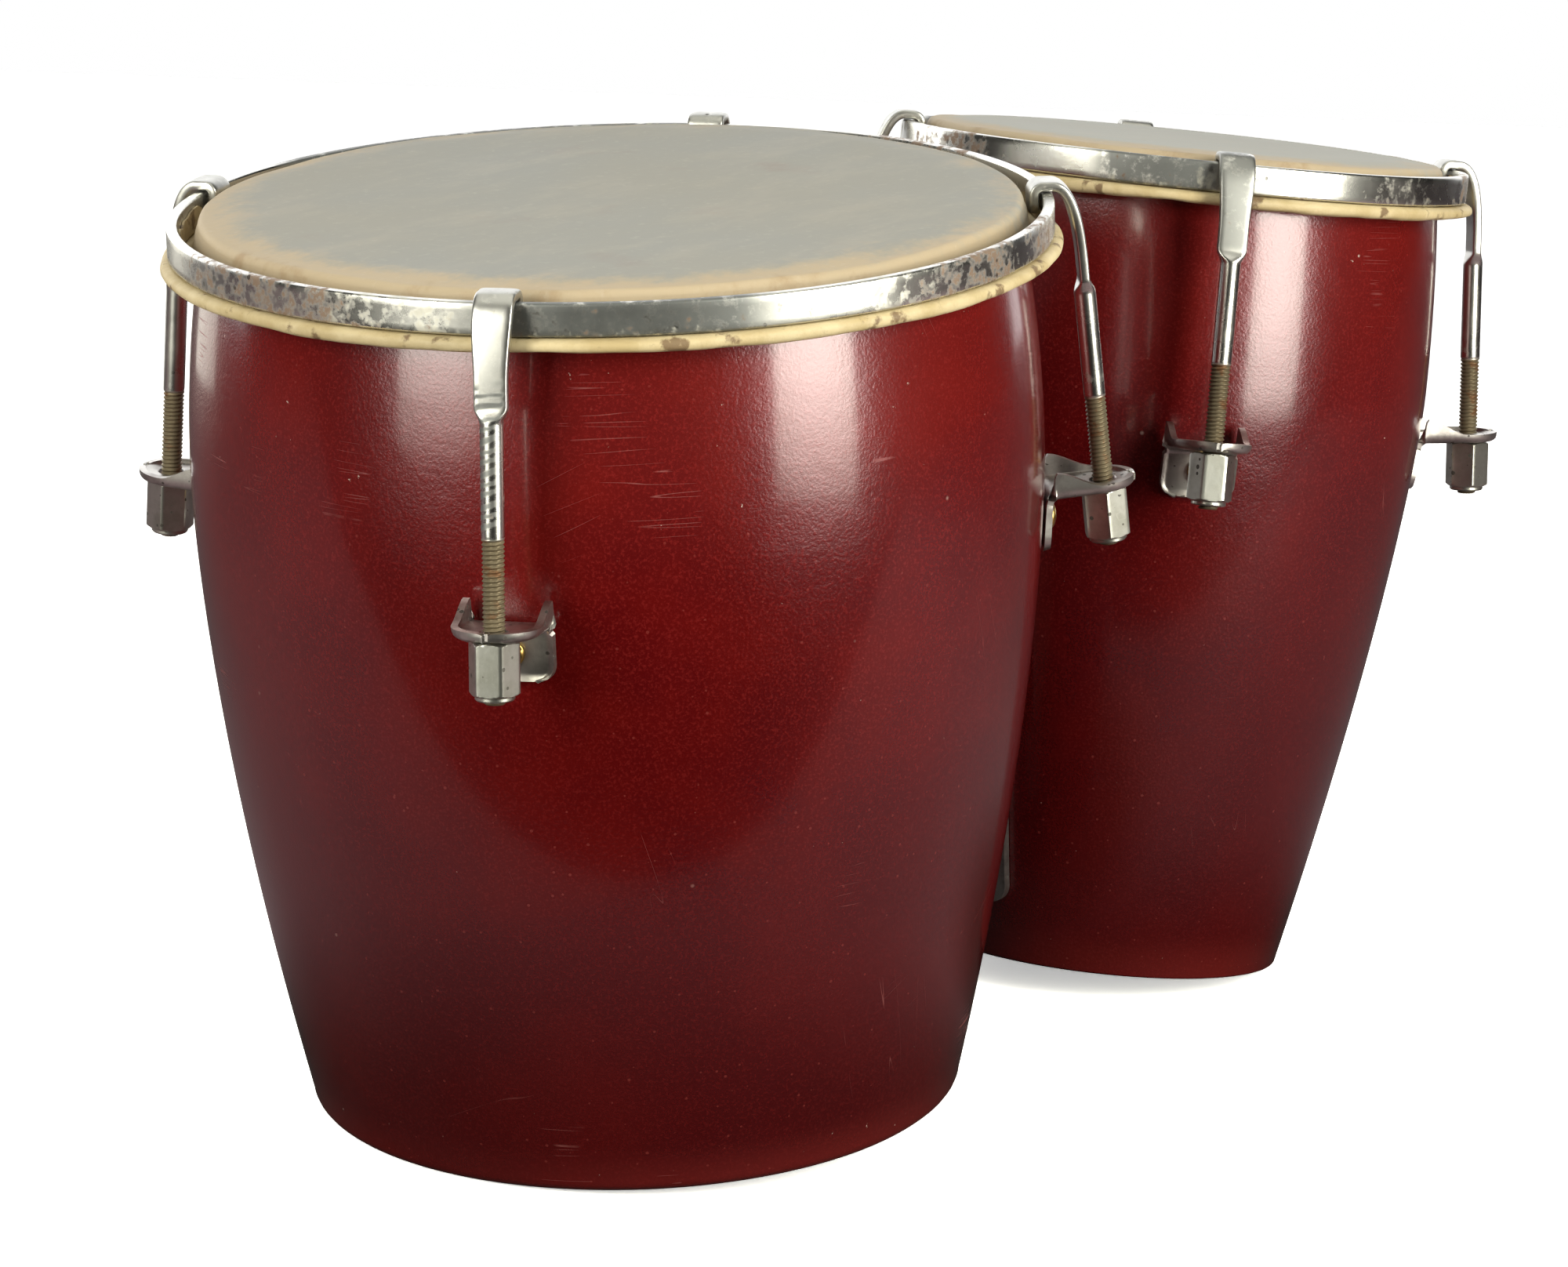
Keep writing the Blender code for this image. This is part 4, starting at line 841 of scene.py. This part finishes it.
def buildBracket(drum):
    # A sheet with two parameters, along the path and across it. The plate hugs the shell; the shelf has a
    # round front and its sides turn up, high at the wall and low at the front. Solidify gives it thickness.
    foot, corner, front, up, out = bracketPath(drum)
    plateLength = np.linalg.norm(corner - foot) - lug["bend"]
    shelfLength = np.linalg.norm(front - corner)
    startBend, endBend = corner - up * lug["bend"], corner + rodOut * lug["bend"]
    a = np.linspace(0, 1, 15)[:, None]
    b = np.linspace(0, 1, 9)[1:, None]
    bend = (1 - b) ** 2 * startBend + 2 * b * (1 - b) * corner + b ** 2 * endBend
    flatEnd = shelfLength - lug["front"]
    tau = np.linspace(0, math.radians(lug["frontTurn"]), 16)[1:]
    reach = np.concatenate([np.linspace(lug["bend"], flatEnd, 8)[1:], flatEnd + lug["front"] * np.sin(tau)])
    line = np.concatenate([foot + (startBend - foot) * a, bend, corner + rodOut * reach[:, None]])
    fromFoot = np.concatenate([plateLength * a[:, 0], np.full(len(line) - len(a), 99.0)])
    half = roundedEnd(lug["half"], lug["plateCorner"], fromFoot)
    half[-len(tau):] = lug["half"] * np.cos(tau)
    onShelf = np.concatenate([np.zeros(len(a)), smooth(b[:, 0]), np.ones(len(reach))])[:, None]
    shelfReach = np.concatenate([np.zeros(len(a)), b[:, 0] * lug["bend"], reach])[:, None]
    ear = onShelf * (lug["rim"] + (lug["ear"] - lug["rim"]) * fallsFrom(shelfReach, *lug["earLow"]))
    ear = ear * risesFrom(shelfReach, *lug["earStart"])
    half, fromFoot = half[:, None], fromFoot[:, None]
    # Across the sheet the distance bends softly from flat to upright where the flat part ends.
    u = np.linspace(-1, 1, 41)[None, :]
    length = (half + ear) * np.abs(u)
    flatPart = np.maximum(half - lug["thick"] / 2 * (onShelf > 0), 0.05)
    soft = lug["softness"]
    y = flatPart - soft * np.log1p(np.exp((flatPart - length) / soft))
    y = y - (flatPart - soft * np.log1p(np.exp(flatPart / soft)))
    lip = lug["frontRise"]
    frontRise = lug["frontRim"] * lug["rim"] * risesFrom(shelfReach, shelfLength - lip, lip)
    rise = onShelf * np.maximum(np.maximum(length - y, 0) * onShelf, frontRise * onShelf)
    side = np.sign(u) * y
    radius = line[:, :1]
    sag = (radius - np.sqrt(np.maximum(radius ** 2 - side ** 2, 1.0))) * (1 - onShelf)
    edgeTurn = risesFrom(np.abs(u), *lug["turnedSide"]) + fallsFrom(fromFoot, *lug["turnedFoot"])
    edgeTurn = lug["turnedEdge"] * edgeTurn.clip(0, 1) * (1 - onShelf)
    grid = np.stack([radius + rise * rodUp[0] + edgeTurn * out[0] - sag, side,
                     line[:, 1:] + rise * rodUp[1] + edgeTurn * out[1]], -1)
    sheet = surface(drum["name"] + "LugSheet", grid, [finishes["lug"], finishes["lugEdgeHighlight"]], sharp=60)
    thicken(sheet, lug["thick"])
    seat = wallPoint(drum, rod["shelf"] - lug["screwDrop"])[0] + out * (lug["gap"] + lug["thick"] / 2)
    cutters = [rodCutter(rodPoint(drum, rod["shelf"]), rodUp, lug["hole"]),
               rodCutter(seat, out, lug["screwHole"])]
    for cutter in cutters:
        cutBy(sheet, cutter)
    # The bevels take the second material, the paler painted highlight along the lug's edges.
    soften = sheet.modifiers.new("edges", "BEVEL")
    soften.width, soften.segments, soften.material = lug["bevel"], 4, 1
    soften.limit_method, soften.angle_limit = "ANGLE", math.radians(50)
    return takeMesh(sheet, *cutters)


def takeMesh(piece, *helpers):
    # The mesh with its modifiers applied; the piece and what cut it are removed.
    mesh = bakedCopy(piece)
    for gone in (piece, *helpers):
        bpy.data.objects.remove(gone, do_unlink=True)
    return mesh


def bakedCopy(piece):
    bpy.context.view_layer.update()
    return bpy.data.meshes.new_from_object(piece.evaluated_get(bpy.context.evaluated_depsgraph_get()))


def thicken(sheet, thickness):
    # Gives the sheet its thickness, half to each side, and turns the closed result's faces outwards.
    solid = sheet.modifiers.new("thickness", "SOLIDIFY")
    solid.thickness, solid.offset, solid.use_even_offset = thickness, 0.0, True
    mesh = bakedCopy(sheet)
    closeUp(mesh, 38)
    sheet.modifiers.clear()
    sheet.data = mesh


def rodCutter(middle, axis, radius):
    # A short closed cylinder in the radial plane, for cutting a hole.
    levels, radii = np.array([-6, -6, 6, 6.0])[:, None], np.array([0, radius, radius, 0])[:, None]
    return surface("cutter", spun(middle, axis, radii, levels, 32), [])


def cutBy(piece, cutter):
    cut = piece.modifiers.new("cut", "BOOLEAN")
    cut.object, cut.operation, cut.solver = cutter, "DIFFERENCE", "EXACT"


def placeMesh(name, node, number, mesh, drum, degrees, slot):
    # A copy of a mesh made in the radial plane, turned to its hook and put in the row's frame.
    copy = mesh.copy()
    points = np.zeros(len(copy.vertices) * 3)
    copy.vertices.foreach_get("co", points)
    copy.vertices.foreach_set("co", inRow(drum, points.reshape(-1, 3), degrees).ravel())
    copy.update()
    stands(addObject(f"{drum['name']}{name}{number}", copy), "drums", slot, f"{drum['name']}_{node}_{number}")


screw = dict(head=3.4, dome=2.0, shank=1.6, bite=5.5, slot=0.42)


def domedProfile(head, dome, shank, reach):
    # Across the dome as part of an ellipse, in under the head, down the shank and across its end.
    turn = np.linspace(0, math.pi / 2, 9)
    rim = 0.3 * dome
    cap = np.stack([head * np.sin(turn), rim + (dome - rim) * np.cos(turn)], -1)
    stem = [(head, 0.12), (head - 0.12, 0.0), (shank, 0.0), (shank, -reach + 0.4), (shank - 0.4, -reach)]
    return np.concatenate([cap, stem, [(0, -reach)]])


def slotCutter(origin, axis, half, turn):
    # A long thin box across a domed head, from a millimetre above its seat.
    across = np.array([axis[1], -axis[0]])
    c, s = math.cos(turn), math.sin(turn)
    corners = []
    for level in (1.0, 4.0):
        for a, b in ((-6, -half), (6, -half), (6, half), (-6, half)):
            x, z = origin + level * axis + (a * c - b * s) * across
            corners.append((x, a * s + b * c, z))
    box = bpy.data.meshes.new("slotCutter")
    sides = [(k, k + 4, (k + 1) % 4 + 4, (k + 1) % 4) for k in range(4)]
    box.from_pydata(corners, [], [(0, 1, 2, 3), (7, 6, 5, 4)] + sides)
    closeUp(box, 30)
    return addObject("slotCutter", box)


def spunMesh(profile, origin, axis, finish, slot=0.0, slotTurn=0.0):
    # The profile spun about an axis in the radial plane; a driver slot is cut where asked.
    piece = surface("spun", spun(origin, axis, profile[:, :1], profile[:, 1:], 36), [finish], sharp=40)
    cutters = [slotCutter(origin, axis, slot, slotTurn)] if slot else []
    for cutter in cutters:
        cutBy(piece, cutter)
    return takeMesh(piece, *cutters)


def buildBracketsAndScrews(drum):
    bracket = buildBracket(drum)
    seat, out = wallPoint(drum, rod["shelf"] - lug["screwDrop"])
    seat = seat + out * (lug["gap"] + lug["thick"] + 0.3)
    profile = domedProfile(screw["head"], screw["dome"], screw["shank"], lug["thick"] + screw["bite"])
    for number, degrees in enumerate(drum["hooks"], 1):
        placeMesh("Bracket", "bracket", number, bracket, drum, degrees, "pressed_steel")
        head = spunMesh(profile, seat, out, finishes["brass"], screw["slot"], 0.5 + 0.8 * number)
        placeMesh("BracketScrew", "bracket_screw", number, head, drum, degrees, "brass")


centre = dict(half=6.0, thick=2.5, gap=0.3, low=17.0, high=126.0, corner=4.8, bevel=0.4, bolts=(78.0, 103.0),
              boltRadius=2.9, head=5.5, dome=3.2, slot=0.7, into=14.0, washer=7.5, washerThick=1.4,
              washerPlay=0.35, blockLow=64.0, blockHigh=116.0, blockHalf=13.0, blockPower=0.25)


def buildStrap(drum, side):
    # A strip that follows the wall up its height and round its curve, with rounded ends, made thick outwards.
    ease = 0.5 - 0.5 * np.cos(math.pi * np.linspace(0, 1, 61))
    low, high = centre["low"], centre["high"]
    height = low + (high - low) * ease
    half = roundedEnd(centre["half"], centre["corner"], np.minimum(height - low, high - height))
    y = half[:, None] * np.linspace(-1, 1, 13)[None, :]
    radius = (wallRadius(drum, height) + centre["gap"] + centre["thick"] / 2)[:, None]
    grid = np.stack([side * np.sqrt(radius ** 2 - y ** 2), y, np.repeat(height[:, None], 13, 1)], -1)
    sheet = surface(drum["name"] + "StrapSheet", inRow(drum, grid), [finishes["lug"]])
    thicken(sheet, centre["thick"] * mm)
    soften = sheet.modifiers.new("edges", "BEVEL")
    soften.width, soften.segments, soften.limit_method = centre["bevel"] * mm, 3, "ANGLE"
    piece = addObject(drum["name"] + "CentreStrap", takeMesh(sheet))
    stands(piece, "drums", "pressed_steel", drum["name"] + "_centre_strap")


def buildBolts(drum, degrees):
    # Each bolt goes out through a washer, the wall, the strap and into the block.
    w, t, gap = centre["washer"], centre["washerThick"], centre["gap"]
    hole = centre["boltRadius"] + centre["washerPlay"]
    ring = np.array([(hole, 0), (w - 0.3, 0), (w, -0.3), (w, 0.3 - t), (w - 0.3, -t), (hole, -t), (hole, 0)])
    for number, height in enumerate(centre["bolts"], 1):
        middle, out = wallPoint(drum, height)
        inside = middle[0] - drum["wall"]
        sagitta = inside - math.sqrt(inside ** 2 - w ** 2)
        seat = middle - out * (drum["wall"] * out[0] + sagitta + 0.75)
        reach = t + gap + np.linalg.norm(middle - seat) + 2 * gap + centre["thick"] + centre["into"]
        profile = domedProfile(centre["head"], centre["dome"], centre["boltRadius"], reach)
        under = seat - out * (t + gap)
        bolt = spunMesh(profile, under, -out, finishes["nickel"], centre["slot"], 0.4 * number)
        placeMesh("Bolt", "bolt", number, bolt, drum, degrees, "worn_nickel")
        washer = spunMesh(ring, seat, out, finishes["nickel"])
        placeMesh("Washer", "washer", number, washer, drum, degrees, "worn_nickel")


def buildBlock():
    # A rounded oblong carried from one strap to the other; both ends follow the straps' faces.
    turn = np.linspace(0, math.tau, 65)
    y, z = squared(np.cos(turn), centre["blockPower"]), squared(np.sin(turn), centre["blockPower"])
    low, high = centre["blockLow"], centre["blockHigh"]
    height = (low + high) / 2 + z * (high - low) / 2
    ends = []
    for drum, side in ((large, 1), (small, -1)):
        radius = side * (wallRadius(drum, height) + 2 * centre["gap"] + centre["thick"])
        ends.append(inRow(drum, np.stack([radius, centre["blockHalf"] * y, height], -1)))
    share = np.array([0, 0.012, 0.035, 0.2, 0.4, 0.6, 0.8, 0.965, 0.988, 1.0])[:, None, None]
    shrink = np.array([0.955, 0.985, 1, 1, 1, 1, 1, 1, 0.985, 0.955])[:, None, None]
    rings = ends[0] + (ends[1] - ends[0]) * share
    middle = rings[:, :-1].mean(1, keepdims=True)
    rings = middle + (rings - middle) * shrink
    middles = np.broadcast_to(middle, rings.shape)
    grid = np.concatenate([middles[:1], rings, middles[-1:]])
    piece = surface("centreBlock", grid, [finishes["block"]], sharp=50)
    stands(piece, "drums", "stained_wood", "centre_block")


for drum in (large, small):
    buildShell(drum)
    buildSkin(drum)
    buildFlesh(drum)
    buildTail(drum)
    buildCounterhoop(drum)
    print(drum["name"], "shell, head and hoops made")
    for number in range(1, 5):
        buildHook(drum, number)
        buildNut(drum, number, 0.35 * number + (0.2 if drum is small else 0.0))
    buildBracketsAndScrews(drum)
    print(drum["name"], "hooks, nuts and brackets made")
for drum, side in ((large, 1), (small, -1)):
    buildStrap(drum, side)
    buildBolts(drum, 0.0 if side > 0 else 180.0)
buildBlock()
print("centre mounting made")

# Camera, fitted to the photograph's outlines, and the directions that the lights are placed by.
shot = dict(place=(-1.1258, -0.8955, 0.4192), right=(0.63742481, -0.76963909, 0.03667817),
            up=(0.13907024, 0.16173925, 0.9769851), forward=(0.75785822, 0.6176537, -0.2101305), lens=126.0,
            sensor=36.0, clip=(0.05, 50.0))


def addCamera():
    data = bpy.data.cameras.new("camera")
    data.lens, data.sensor_width = shot["lens"], shot["sensor"]
    data.clip_start, data.clip_end = shot["clip"]
    turn = np.eye(4)
    turn[:3, :3] = np.array([shot["right"], shot["up"], tuple(-v for v in shot["forward"])]).T
    turn[:3, 3] = shot["place"]
    camera = addObject("camera", data)
    camera.matrix_world = Matrix(turn.tolist())
    bpy.context.scene.camera = camera


facing = np.array([-0.7752, -0.6318, 0.0])
toRight = np.array([0.6378, -0.7702, 0.0])

# Soft boxes: degrees round from the camera's side (right is positive), distance, width, and the height that
# each step of the box starts at, with its radiance; the steps dim it towards the table.
boxColour, boxTop = (1.0, 0.98, 0.86), 0.90
boxes = dict(
    right=dict(turn=48.5, away=1.1, wide=0.44,
               steps=((0.0, 4.5), (0.05, 7.5), (0.10, 10.5), (0.15, 13.5), (0.20, 17.0))),
    left=dict(turn=-42.5, away=1.15, wide=0.42, steps=((0.0, 2.0), (0.05, 4.5), (0.10, 8.0), (0.15, 11.0))),
    leftBack=dict(turn=-135, away=1.2, wide=0.42, steps=((0.0, 1.3), (0.10, 1.7))))
overhead = dict(place=(-0.15, -0.06, 1.45), size=1.45, glow=1.08)


def addBox(name, middle, aim, wide, tall, glow):
    # Radiance is the power over pi and the area, so the power follows from the glow asked for.
    data = bpy.data.lights.new(name, "AREA")
    data.shape, data.size, data.size_y = "RECTANGLE", wide, tall
    data.energy, data.color = glow * math.pi * wide * tall, boxColour
    light = addObject(name, data)
    light.location = middle
    light.rotation_euler = (Vector(aim) - Vector(middle)).to_track_quat("-Z", "Y").to_euler()


def addLights():
    for name, b in boxes.items():
        turn = math.radians(b["turn"])
        x, y = (facing * math.cos(turn) + toRight * math.sin(turn))[:2] * b["away"]
        tops = [bottom for bottom, glow in b["steps"][1:]] + [boxTop]
        for (bottom, glow), top in zip(b["steps"], tops):
            middle = (bottom + top) / 2
            addBox(name + "Box", (x, y, middle), (0, 0, middle), b["wide"], top - bottom, glow)
    size = overhead["size"]
    addBox("overheadBox", overhead["place"], (0.0, 0.0, 0.0), size, size, overhead["glow"])


room = dict(back=1.6, front=0.0, seen=1.0, edge=(-0.66, -0.58), across=0.2)


def addRoom():
    # White to the camera everywhere. To the rest, white behind and beside the object and dark on the
    # camera's side.
    world = bpy.data.worlds.new("studio")
    bpy.context.scene.world = world
    world.use_nodes = True
    tree = world.node_tree
    direction = addNode(tree, "ShaderNodeTexCoord").outputs["Generated"]
    split = tuple(facing + room["across"] * toRight)
    toward = vectorNode(tree, "DOT_PRODUCT", direction, split).outputs["Value"]
    front = ramp(tree, toward, *room["edge"])
    level = plus(tree, room["back"], times(tree, front, room["front"] - room["back"]))
    seen = addNode(tree, "ShaderNodeLightPath").outputs["Is Camera Ray"]
    strength = addNode(tree, "ShaderNodeMix", {0: seen, 2: level, 3: room["seen"]}).outputs[0]
    background = tree.nodes["Background"].inputs
    feed(tree, (1.0, 1.0, 1.0), background["Color"])
    feed(tree, strength, background["Strength"])


table = dict(edge=0.28, deep=2.2, wide=1.9, near=(0.22, 0.16, 0.18), far=(0.115, 0.09, 0.10), fadeFrom=0.05,
             fadeBy=2.5, shade=(0.015, 0.12), shaded=(0.03, 0.03, 0.03), seen=(2.2, 2.2, 2.2), seenGlow=0.42,
             grain=0.02, grainColour=(1.0, 1.0, 1.0))


def addTable():
    # A pale table top whose front edge lies square to the view, just out of the picture.
    edge, deep, wide = table["edge"], table["deep"], table["wide"]
    corners = [facing * along + toRight * across
               for along, across in ((edge, -wide), (edge, wide), (-deep, wide), (-deep, -wide))]
    mesh = bpy.data.meshes.new("table")
    mesh.from_pydata([tuple(corner) for corner in corners], [], [(0, 1, 2, 3)])
    top = addObject("table", mesh)
    material, tree, shader, coords = startMaterial("paleTable")
    place3 = coords["Object"]
    # The camera sees it near white, and the object's shadow on it; everything else sees a plain top that is
    # darker away from the camera.
    seen = addNode(tree, "ShaderNodeLightPath").outputs["Is Camera Ray"]
    toward = vectorNode(tree, "DOT_PRODUCT", place3, tuple(facing)).outputs["Value"]
    away = times(tree, mathNode(tree, "SUBTRACT", table["fadeFrom"], toward), table["fadeBy"], clamp=True)
    plainColour = mixColours(tree, away, table["near"], table["far"])
    # Close to the drums' feet the plain top is dark, where they keep the light from it.
    reach = []
    for drum in (large, small):
        gone = vectorNode(tree, "DISTANCE", place3, (*drum["base"][:2], 0.0)).outputs["Value"]
        reach.append(mathNode(tree, "SUBTRACT", gone, drum["foot"] * mm))
    lit = ramp(tree, mathNode(tree, "MINIMUM", *reach), *table["shade"])
    plainColour = mixColours(tree, lit, table["shaded"], plainColour)
    colour = mixColours(tree, seen, plainColour, table["seen"])
    colour = tinted(tree, colour, noiseOf(tree, place3, 40.0, 2.0), table["grain"], table["grainColour"])
    plain = addNode(tree, "ShaderNodeBsdfDiffuse", {"Color": colour})
    glow = addNode(tree, "ShaderNodeEmission", {"Strength": times(tree, seen, table["seenGlow"])})
    both = addNode(tree, "ShaderNodeAddShader", {0: plain.outputs[0], 1: glow.outputs[0]})
    tree.nodes.remove(shader)
    tree.links.new(both.outputs[0], tree.nodes["Material Output"].inputs["Surface"])
    mesh.materials.append(material)


addCamera()
addLights()
addRoom()
addTable()
bpy.context.scene.view_settings.view_transform = "Standard"
